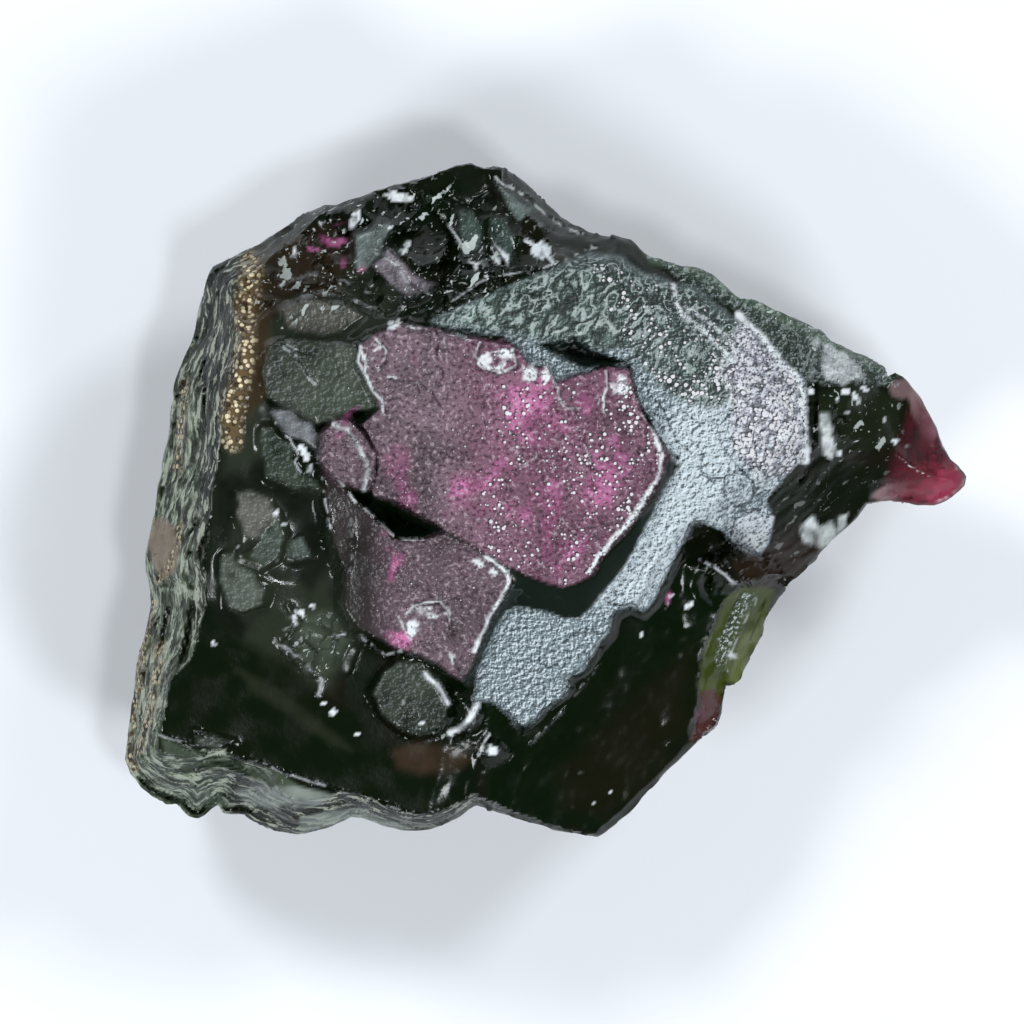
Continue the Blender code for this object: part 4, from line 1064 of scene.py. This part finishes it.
class Surface:
    """What is known of each vertex: its place, some noise, and how far it belongs to each part."""

    def __init__(self, mesh):
        places, normals = read_places(mesh), read_normals(mesh)
        self.x, self.y = plan_of(places)
        self.height, self.up = places[:, 2] / MILLIMETRE, normals[:, 2]
        self.facing = smooth((self.up - 0.05) / 0.25)
        self.edge = distance(outline_points(), self.x, self.y)
        self.near = strayed(self.x, self.y, RIM_STRAY, seed=61)
        self.patchy = uneven(self.x, self.y, ((30, 0.5), (11, 0.4), (5, 0.3)), seed=131)
        self.fine = uneven(self.x, self.y, ((9, 0.5), (4, 0.5)), seed=139)
        self.cloudy = uneven(self.x, self.y, ((80, 0.5), (38, 0.5)), seed=181)
        self.find_plates()
        self.find_frost()
        self.find_sides()

    def within(self, points, soft):
        """1 inside an outline, falling to 0 outside it over a rim that is soft pixels wide."""
        return smooth(distance(points, *self.near) / soft + 0.5)

    def find_plates(self):
        self.left = self.within(LEFT_PLATE, 3)
        self.round = self.within(ROUND_PLATE, 4)
        self.rose = self.within(ROSE_PLATE, 3)
        lower = self.within(LOWER_PLATE, 4) * (0.15 + 0.75 * smooth((self.x - LOWER_PLATE_ROSY) / 50))
        lens = self.within(LENS_PLATE, 3)
        flushed = patches(*self.near, MAUVE_PATCHES)
        self.mauve = np.max([self.rose, lower, lens, flushed], axis=0) * self.facing
        self.pink = mist(*strayed(self.x, self.y, PINK_STRAY, seed=151), MAGENTA_PATCHES) * self.facing
        # Painted shade in the deep gaps and down the rose plate's cliff
        gaps = [distance(gap, *self.near) for gap in (GASH, WEDGE, CRACK, CLIFF)]
        self.dark = smooth(np.max(gaps, axis=0) / 4 + 0.5)

    def find_frost(self):
        self.shoulder = self.within(SHOULDER.points, 4)
        self.frost = frost_share(*self.near) * self.facing * (1 - self.shoulder)
        self.rippled = self.within(RIPPLED, 16)
        self.bubbly = self.within(BUBBLY, 6) * self.frost
        self.hollow = self.frost * smooth(distance(DARK_HOLLOW, *self.near) / 10 + 0.4 + 0.5 * self.patchy)
        wide = strayed(self.x, self.y, WIDE_STRAY, seed=11)
        self.facets = [smooth(distance(facet.points, *wide) / 5 + 0.5) for facet in FACETS]

    def find_sides(self):
        slanting = smooth((0.8 - self.up) / 0.3) * smooth((self.up + 0.1) / 0.2)
        self.steep = slanting * smooth((75 - self.edge) / 15)
        self.lump = smooth(patches(self.x, self.y, TAN_LUMP) * 1.4)
        self.striated = self.steep * side_share(self.x, self.y, LEFT_FACE_END + 10) * (1 - 0.85 * self.lump)
        self.gold = drawn(*self.near, GOLD_LINES, 0.55) * smooth((self.up + 0.3) / 0.3)
        self.tip = smooth((self.x - TIP_START[0] - 0.35 * (TIP_START[1] - self.y)) / 26)


def paint_ground(s):
    """The colours under the plates and the frosted layer."""
    brown = np.clip(0.25 + s.patchy, 0, 1) * 0.6
    tint = painted(np.tile(linear(BLACK_GREEN), (len(s.x), 1)), BLACK_BROWN, brown)
    tint = painted(tint, GOLD_BROWN, 0.6 * patches(s.x, s.y, GOLD_GROUND) * s.facing)
    tint = painted(tint, BLACK_BROWN, patches(s.x, s.y, BROWN_PATCHES + BROWN_LUMP) * s.facing)
    tint = painted(tint, LUMP_BROWN, 0.5 * patches(s.x, s.y, BROWN_LUMP) * s.facing)
    tint = covered(tint, *s.near, GROUND_AREAS, s.patchy)
    return painted(tint, TAN, 0.8 * s.lump)


def paint_plates(s, tint):
    """The grey plates, the mauve ones and the magenta that glows in them."""
    tint = painted(tint, PLATE_GREY, s.facing * np.maximum(0.95 * s.left, 0.75 * s.round))
    tint *= (1 + (0.5 * s.cloudy + 0.5 * s.patchy + 0.4 * s.fine) * np.maximum(s.left, s.round))[:, None]
    tint = painted(tint, MAUVE, s.mauve * (0.94 + 0.3 * s.patchy))
    glow = np.maximum(s.pink, 0.35 * s.rose * smooth((s.x - ROSE_GLOW) / 80))
    tint = painted(tint, MAGENTA, glow * (0.9 + 0.3 * s.fine))
    tint = painted(tint, HOT_PINK, 0.7 * smooth(s.pink * 1.6 - 0.6) * smooth(s.patchy + s.fine + 0.5))
    right_rim = smooth((s.x - ROSE_DARK) / 30) * s.rose
    black = 0.55 * smooth(s.fine * 1.4 + s.patchy + 0.1) * s.mauve * (0.4 + right_rim)
    return painted(tint, ROSE_BLACK, black)


def paint_frost(s, tint):
    """The frosted layer, from its rippled top to its bubbly end."""
    tint = painted(tint, FROST_PALE, s.frost)
    # The brightest part, painted lighter as a reflection of the light
    tint = painted(tint, FROST_STRIP, s.frost * smooth(distance(STRIP, *s.near) / 30 + 0.6))
    tint = painted(tint, FROST_RIPPLED, s.frost * s.rippled)
    tint = painted(tint, FROST_BUBBLY, s.bubbly)
    tint = painted(tint, FROST_DARK, 0.95 * s.hollow * (1 - s.bubbly))
    return tint * (1 + (0.7 * s.cloudy + 0.5 * s.patchy) * s.frost * s.rippled)[:, None]


def paint_small_parts(s, tint):
    """The small flat faces with their painted reflections, the splinter, and the tip with its painted glow.
    """
    # Each small face's colour is partly a painted reflection
    for facet, share in zip(FACETS, s.facets):
        tint = painted(tint, facet.colour, share * s.facing * (0.75 + 0.5 * s.patchy + 0.5 * s.fine))
    tint = covered(tint, *s.near, SPLINTER_AREAS, s.patchy)
    tint = painted(tint, TIP_RED, s.tip * (0.85 + 0.3 * s.patchy))
    tint = painted(tint, TIP_GREY, 0.7 * patches(*s.near, TIP_GREYS))
    # A painted glow where light shines through the thin end of the tip
    return painted(tint, TIP_BRIGHT, patches(*s.near, TIP_LIGHTS))


def line_shares(s):
    """The painted highlights on rims and pale patches, and the painted shade beside rims and in cracks."""
    px, py = s.near
    rims = drawn(px, py, [line for line in LINES if line.pale > FAINT])
    faint = drawn(px, py, [line for line in LINES if line.pale <= FAINT])
    broken = 0.45 + 0.55 * smooth((s.patchy + 0.5 * s.fine + 0.45) / 0.5)
    lines = np.maximum(rims * broken, faint * smooth((0.7 * s.patchy + s.fine + 0.15) / 0.35))
    beside = drawn(px - RIM_SHADE, py - RIM_SHADE, LINES) * (1 - np.clip(lines, 0, 1))
    crack_shade = drawn(px, py, [line._replace(pale=1.0) for line in LINES if line.rise < 0])
    # Painted highlights on the rims and in the pale patches, which are partly pale crumbs
    pale = np.maximum(lines, ragged_patches(px, py, PALE_PATCHES, 0.5 * s.fine + 0.4 * s.patchy))
    return np.clip(pale, 0, 1) * s.facing, np.clip(np.maximum(beside, crack_shade), 0, 1) * s.facing


def paint_sides(s, tint):
    """The grey of the side faces, the smooth sheets of the lower one and the ground of the gold grains."""
    grey = smooth((LEFT_FACE_GREY - s.x) / 30 + smooth((s.y - LOWER_FACE_TOP) / 20))
    tint = painted(tint, SIDE_GREY, s.striated * grey)
    tint = covered(tint, *s.near, SHEETS, s.patchy)
    return painted(tint, GOLD_BROWN, 0.7 * s.gold)


def dotted_share(s):
    """How thickly white dots lie: pale specks and painted glints, each with painted shade beside it."""
    px, py = s.near
    right_half = smooth((px - DOTTED_FROM[0]) / 60) * smooth((py - DOTTED_FROM[1]) / 40) * s.rose
    spread = 0.30 * s.patchy
    dotted = np.max([
        0.38 * s.mauve, 0.30 * s.left, 0.30 * s.round, (0.60 + spread) * right_half,
        (0.68 + spread) * s.hollow, (0.85 + spread) * s.bubbly, 0.35 * s.rippled * s.frost, 0.4 * s.shoulder,
    ], axis=0)
    return dotted * s.facing * (1 - s.dark)


def material_shares(s, pale):
    """The shares that the material reads, each under the name of its attribute."""
    grey_frost = 0.13 * np.max([s.left, s.round, *s.facets], axis=0)
    splinter = smooth(distance(SPLINTER, *s.near) / 4) * smooth((s.x - SPLINTER_START) / 10)
    seams = smooth(uneven(s.x + s.height * 40, s.y, ((70, 1.0),), seed=149) - 0.2)
    frost_right = smooth((s.x - FROST_RIGHT[0]) / 40) * smooth((s.y - FROST_RIGHT[1]) / 30)
    ripples = np.maximum(s.rippled, 0.7 * s.hollow)
    return {
        "frost": np.max([s.frost, 0.4 * s.shoulder * s.facing, grey_frost], axis=0) * (1 - s.dark),
        "rose": s.mauve * (1 - s.dark),
        "gold": np.maximum(s.gold, 0.6 * smooth((0.2 - s.up) / 0.3) * seams),
        "clear": np.clip(s.tip + 0.2 * splinter * smooth((30 - s.edge) / 20), 0, 1),
        "pale": pale,
        "dotted": dotted_share(s),
        "broken": broken_share(s.x, s.y) * (1 - s.dark) * (1 - 0.7 * frost_right),
        "steep": s.steep,
        "rippled": np.maximum(s.frost * ripples * (1 - s.bubbly), 0.35 * s.shoulder),
        "bubbly": s.bubbly,
        "striated": s.striated * (1 - 0.6 * inside(*s.near, SHEETS)),
    }


def paint(mesh):
    """Writes the colours and the shares that the material reads, each as an attribute of the vertices."""
    s = Surface(mesh)
    tint = paint_frost(s, paint_plates(s, paint_ground(s)))
    tint *= (1 + (0.4 * s.cloudy + 0.3 * s.patchy) * s.mauve)[:, None]
    tint = paint_small_parts(s, tint)
    pale, shade = line_shares(s)
    # Painted shade beside the rims and in the cracks, then painted highlights on the rims and pale patches
    tint = painted(tint * (1 - 0.75 * shade)[:, None], CHIP_AND_HIGHLIGHT, pale)
    # The side faces, then the painted shade of the gaps and the cliff
    tint = painted(paint_sides(s, tint), BLACK_GREEN, 0.97 * s.dark)
    colours = np.concatenate([np.clip(tint, 0, 1), np.ones((len(tint), 1))], axis=1)
    mesh.attributes.new("tint", "FLOAT_COLOR", "POINT").data.foreach_set("color", colours.ravel())
    for name, share in material_shares(s, pale).items():
        mesh.attributes.new(name, "FLOAT", "POINT").data.foreach_set("value", np.clip(share, 0, 1))


class Nodes:
    """Short calls for building a node tree."""

    def __init__(self, tree):
        self.tree = tree

    def add(self, kind, inputs=(), **settings):
        node = self.tree.nodes.new(kind)
        for name, value in settings.items():
            setattr(node, name, value)
        for name, value in dict(inputs).items():
            self.set(node.inputs[name], value)
        return node

    def set(self, socket, value):
        if isinstance(value, bpy.types.NodeSocket):
            self.tree.links.new(value, socket)
        else:
            socket.default_value = value

    def share(self, name):
        """A painted share."""
        return self.add("ShaderNodeAttribute", attribute_name=name).outputs["Fac"]

    def math(self, operation, a, b=0.0, clamp=False):
        return self.add("ShaderNodeMath", {0: a, 1: b}, operation=operation, use_clamp=clamp).outputs[0]

    def between(self, value, low, high, to_low=0.0, to_high=1.0):
        inputs = {"Value": value, "From Min": low, "From Max": high, "To Min": to_low, "To Max": to_high}
        return self.add("ShaderNodeMapRange", inputs, interpolation_type="SMOOTHSTEP").outputs["Result"]

    def mix(self, share, a, b):
        """Mixes two colours."""
        node = self.add("ShaderNodeMix", data_type="RGBA")
        for name, value in (("Factor_Float", share), ("A_Color", a), ("B_Color", b)):
            self.set(next(socket for socket in node.inputs if socket.identifier == name), value)
        return next(socket for socket in node.outputs if socket.identifier == "Result_Color")

    def moved(self, place, shift):
        """The place that lies shift millimetres away."""
        shift = tuple(MILLIMETRE * part for part in shift)
        return self.add("ShaderNodeVectorMath", {0: place, 1: shift}, operation="ADD").outputs["Vector"]

    def noise(self, place, size, detail=2.0, roughness=0.5):
        """Noise whose features are size millimetres wide."""
        inputs = {"Vector": place, "Scale": 1 / (size * MILLIMETRE), "Detail": detail, "Roughness": roughness}
        return self.add("ShaderNodeTexNoise", inputs).outputs["Fac"]

    def cells(self, place, size):
        return self.add("ShaderNodeTexVoronoi", {"Vector": place, "Scale": 1 / (size * MILLIMETRE)})

    def times(self, a, b):
        return self.math("MULTIPLY", a, b)

    def most(self, a, b):
        return self.math("MAXIMUM", a, b)

    def stretched(self, place, socket, values):
        """The place with a mapping's rotation or scale applied to it."""
        return self.add("ShaderNodeMapping", {"Vector": place, socket: values}).outputs["Vector"]

    def dotting(self, place, size, share):
        """Round dots of many widths: the higher the share, the more and the wider."""
        cells = self.cells(place, size)
        radius = self.math("SUBTRACT", self.math("ADD", cells.outputs["Color"], share), 1.0)
        return self.between(self.math("SUBTRACT", radius, cells.outputs["Distance"]), 0.0, 0.12)


# How wide the material's patterns are, in mm
GRAIN = 0.075
DOTS = (0.062, 0.10)
SPECK = 0.062
BLOTCH = 0.5
GOLD_GRAIN = 0.075
BUBBLE = 0.11
SWIRL = (0.15, 0.16)
FLOW = 0.075
WIDE_FLOW = 0.21
STREAK = 0.13

# How the flow is turned, in radians, how far it and the streaks are stretched, and how many ripples it makes
FLOW_TURN = -0.9
FLOW_STRETCH = (0.4, 1.0, 1.0)
STREAK_STRETCH = (0.36, 0.36, 1.0)
RIPPLES = 24.0

# Where the painted shade of a small bump lies from its painted lit side, and how high the bumps are, in mm
SHADE_SIDE = (0.018, -0.018, 0)
BUMP = 0.030

PAINTED_SHARES = (
    "frost", "rose", "gold", "clear", "pale", "dotted", "rippled", "bubbly", "striated", "broken", "steep",
)


class Stone(Nodes):
    """The nodes of the stone's material, which lays fine patterns over what is painted on the vertices."""

    def __init__(self, tree):
        super().__init__(tree)
        self.place = self.add("ShaderNodeTexCoord").outputs["Object"]
        self.painted = {name: self.share(name) for name in PAINTED_SHARES}
        self.find_grains()
        self.find_flow()

    def find_grains(self):
        beside = self.moved(self.place, SHADE_SIDE)
        dotted = self.painted["dotted"]
        sparse = self.times(dotted, 0.75)
        small, large = DOTS
        self.grain = self.noise(self.place, GRAIN, detail=3.0, roughness=0.65)
        # The grain's fall towards the lower right, which sets the painted light and shade of the frosted
        # layer's bumps
        self.slope = self.math("SUBTRACT", self.grain, self.noise(beside, GRAIN, detail=3.0, roughness=0.65))
        # White dots, pale specks and painted glints, and the same dots moved aside as their painted shade
        self.dots, self.dot_shade = (
            self.most(self.dotting(place, small, dotted), self.dotting(place, large, sparse))
            for place in (self.place, beside)
        )
        self.specks = self.noise(self.place, SPECK, detail=1.0)
        self.blotches = self.noise(self.place, BLOTCH, detail=4.0)
        cells = self.cells(self.place, GOLD_GRAIN)
        self.gold_tone = self.between(cells.outputs["Color"], 0.25, 0.75)
        self.gold = self.times(self.painted["gold"], self.between(cells.outputs["Distance"], 0.62, 0.40))

    def find_flow(self):
        size, reach = SWIRL
        inputs = {"Vector": self.place, "Scale": 1 / (size * MILLIMETRE), "Detail": 2.0}
        swirl = self.add("ShaderNodeTexNoise", inputs).outputs["Color"]
        inputs = {0: swirl, "Scale": reach * MILLIMETRE}
        swirled = self.add("ShaderNodeVectorMath", inputs, operation="SCALE").outputs["Vector"]
        inputs = {0: self.place, 1: swirled}
        warped = self.add("ShaderNodeVectorMath", inputs, operation="ADD").outputs["Vector"]
        self.bubbles = self.cells(warped, BUBBLE).outputs["Distance"]
        turned = self.stretched(warped, "Rotation", (0, 0, FLOW_TURN))
        along = self.stretched(turned, "Scale", FLOW_STRETCH)
        self.flow = self.noise(along, FLOW)
        self.wide_flow = self.noise(along, WIDE_FLOW, detail=1.0)
        layers = self.stretched(self.place, "Scale", STREAK_STRETCH)
        self.streaks = self.noise(layers, STREAK, detail=4.0, roughness=0.66)

    def part(self, name, pattern, low, high):
        """Where a pattern lies between two values, on the part of the stone that has that share."""
        return self.times(self.painted[name], self.between(pattern, low, high))

    def colour(self):
        wave = self.math("SINE", self.times(self.wide_flow, RIPPLES))
        unrippled = self.math("SUBTRACT", 1.0, self.times(self.painted["rippled"], 0.65))
        glint = self.most(self.between(self.flow, 0.65, 0.71), self.between(self.wide_flow, 0.685, 0.715))
        layers = (
            # Painted shade and painted light on the frosted layer's grain, as lit from the lower right
            (self.part("frost", self.slope, -0.02, -0.11), 0.85, (0.02, 0.03, 0.03)),
            (self.times(self.part("frost", self.slope, 0.02, 0.11), unrippled), 0.75, (0.75, 0.82, 0.88)),
            # Dark and pale bands along the ripples: their painted shade and painted highlights
            (self.part("rippled", wave, -0.2, -0.8), 0.75, (0.01, 0.015, 0.012)),
            (self.part("rippled", wave, 0.6, 1.0), 0.55, (0.56, 0.63, 0.62)),
            (self.part("bubbly", self.bubbles, 0.45, 0.25), 0.75, (0.84, 0.84, 0.88)),
            (self.part("bubbly", self.bubbles, 0.56, 0.72), 0.6, (0.03, 0.04, 0.04)),
            (self.part("striated", self.streaks, 0.505, 0.465), 0.95, (0.002, 0.005, 0.001)),
            (self.part("striated", self.streaks, 0.53, 0.58), 0.75, (0.50, 0.54, 0.44)),
            (self.part("rose", self.specks, 0.45, 0.33), 0.7, (0.02, 0.008, 0.014)),
            (self.part("rose", self.specks, 0.60, 0.68), 0.35, (0.60, 0.48, 0.54)),
            # Painted glints on the broken ground
            (self.times(self.painted["broken"], glint), 0.8, (0.66, 0.72, 0.70)),
            # Painted shade beside each white dot, then the dots themselves, pale specks and painted glints
            (self.dot_shade, 0.8, (0.01, 0.012, 0.012)),
            (self.dots, 0.85, (0.82, 0.80, 0.84)),
        )
        colour = self.add("ShaderNodeAttribute", attribute_name="tint").outputs["Color"]
        for share, strength, shade in layers:
            colour = self.mix(self.times(share, strength), colour, (*shade, 1))
        gold_shade = self.mix(self.gold_tone, (0.04, 0.025, 0.012, 1), (0.80, 0.68, 0.46, 1))
        return self.mix(self.gold, colour, gold_shade)

    def roughness(self):
        rough = self.between(self.blotches, 0.35, 0.65, 0.10, 0.22)
        weights = {"frost": 0.16, "rose": 0.12, "pale": 0.15, "steep": 0.30, "clear": 0.12}
        for name, weight in weights.items():
            rough = self.math("ADD", rough, self.times(self.painted[name], weight))
        return self.math("ADD", rough, self.times(self.gold, 0.2), clamp=True)

    def relief(self):
        height = self.times(self.grain, self.math("ADD", self.times(self.painted["frost"], 1.1), 0.08))
        bumps = (
            (self.times(self.specks, self.painted["rose"]), 0.8),
            (self.gold, 1.2),
            (self.dots, 0.8),
            (self.times(self.painted["bubbly"], self.bubbles), -1.5),
            (self.times(self.painted["rippled"], self.flow), 2.0),
            (self.times(self.painted["striated"], self.streaks), 3.0),
        )
        for pattern, weight in bumps:
            height = self.math("ADD", height, self.times(pattern, weight))
        inputs = {"Strength": 1.0, "Distance": BUMP * MILLIMETRE, "Height": height}
        return self.add("ShaderNodeBump", inputs).outputs["Normal"]


def painite_material():
    material = bpy.data.materials.new("painite")
    material.use_nodes = True
    tree = material.node_tree
    tree.nodes.clear()
    stone = Stone(tree)
    shader = stone.add("ShaderNodeBsdfPrincipled", {
        "Base Color": stone.colour(), "Roughness": stone.roughness(), "IOR": 1.8, "Specular IOR Level": 0.12,
        "Transmission Weight": stone.painted["clear"], "Normal": stone.relief(),
    })
    volume = stone.add("ShaderNodeVolumeAbsorption", {"Color": (0.93, 0.10, 0.42, 1), "Density": 1500.0})
    surface, inner = shader.outputs["BSDF"], volume.outputs["Volume"]
    stone.add("ShaderNodeOutputMaterial", {"Surface": surface, "Volume": inner})
    return material


def make_stone():
    stone = make_slab()
    split_long_edges(stone.data)
    roughen_sides(stone.data)
    paint(stone.data)
    stone.data.materials.append(painite_material())
    stone.data.shade_smooth()
    stone.data.set_sharp_from_angle(angle=np.radians(38))
    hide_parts("crystal")
    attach(stone, "root")
    return stone


FLOOR_COLOUR = (0.87, 0.88, 0.93)
FLOOR_SIDE = 0.6
CAMERA_HEIGHT = 0.4
SENSOR = 36.0
FACE_HEIGHT = 0.005


def make_floor():
    plane_grid = bmesh.new()
    bmesh.ops.create_grid(plane_grid, x_segments=1, y_segments=1, size=FLOOR_SIDE / 2)
    mesh = bpy.data.meshes.new("floor")
    plane_grid.to_mesh(mesh)
    plane_grid.free()
    material = bpy.data.materials.new("floor")
    material.use_nodes = True
    shader = material.node_tree.nodes["Principled BSDF"]
    shader.inputs["Base Color"].default_value = (*FLOOR_COLOUR, 1)
    shader.inputs["Roughness"].default_value = 0.9
    mesh.materials.append(material)
    floor = bpy.data.objects.new("floor", mesh)
    bpy.context.scene.collection.objects.link(floor)


def make_camera():
    """Looks straight down, so that the stone's columns and rows fall where the photograph has them."""
    data = bpy.data.cameras.new("camera")
    data.sensor_width = SENSOR
    data.lens = SENSOR * (CAMERA_HEIGHT - FACE_HEIGHT) / (PHOTO_SIDE * PIXEL)
    data.clip_start = 0.01
    camera = bpy.data.objects.new("camera", data)
    middle = PHOTO_SIDE / 2
    camera.location = ((middle - MIDDLE_COLUMN) * PIXEL, (MIDDLE_ROW - middle) * PIXEL, CAMERA_HEIGHT)
    bpy.context.scene.collection.objects.link(camera)
    bpy.context.scene.camera = camera


def add_softbox(name, place, size, power, colour=(1, 1, 1)):
    """A square light that faces the stone."""
    data = bpy.data.lights.new(name, "AREA")
    data.size = size
    data.energy = power
    data.color = colour
    light = bpy.data.objects.new(name, data)
    light.location = place
    light.rotation_euler = (-Vector(place)).to_track_quat("-Z", "Y").to_euler()
    light.visible_camera = False
    bpy.context.scene.collection.objects.link(light)
    return light


def make_light():
    add_softbox("window", (0.055, -0.055, 0.30), 0.032, 0.20, (0.93, 0.97, 1.0))
    for turn, power in ((40, 0.36), (130, 0.46), (220, 0.36), (310, 0.40)):
        out, up = 0.24, 0.26
        place = (out * np.cos(np.radians(turn)), out * np.sin(np.radians(turn)), up)
        add_softbox(f"softbox_{turn}", place, 0.07, power, (0.95, 0.99, 1.0))
    world = bpy.data.worlds.new("studio")
    world.use_nodes = True
    background = world.node_tree.nodes["Background"]
    background.inputs["Color"].default_value = (0.80, 0.88, 0.92, 1)
    background.inputs["Strength"].default_value = 0.10
    bpy.context.scene.world = world


make_stone()
make_floor()
make_camera()
make_light()
bpy.context.scene.view_settings.view_transform = "Standard"
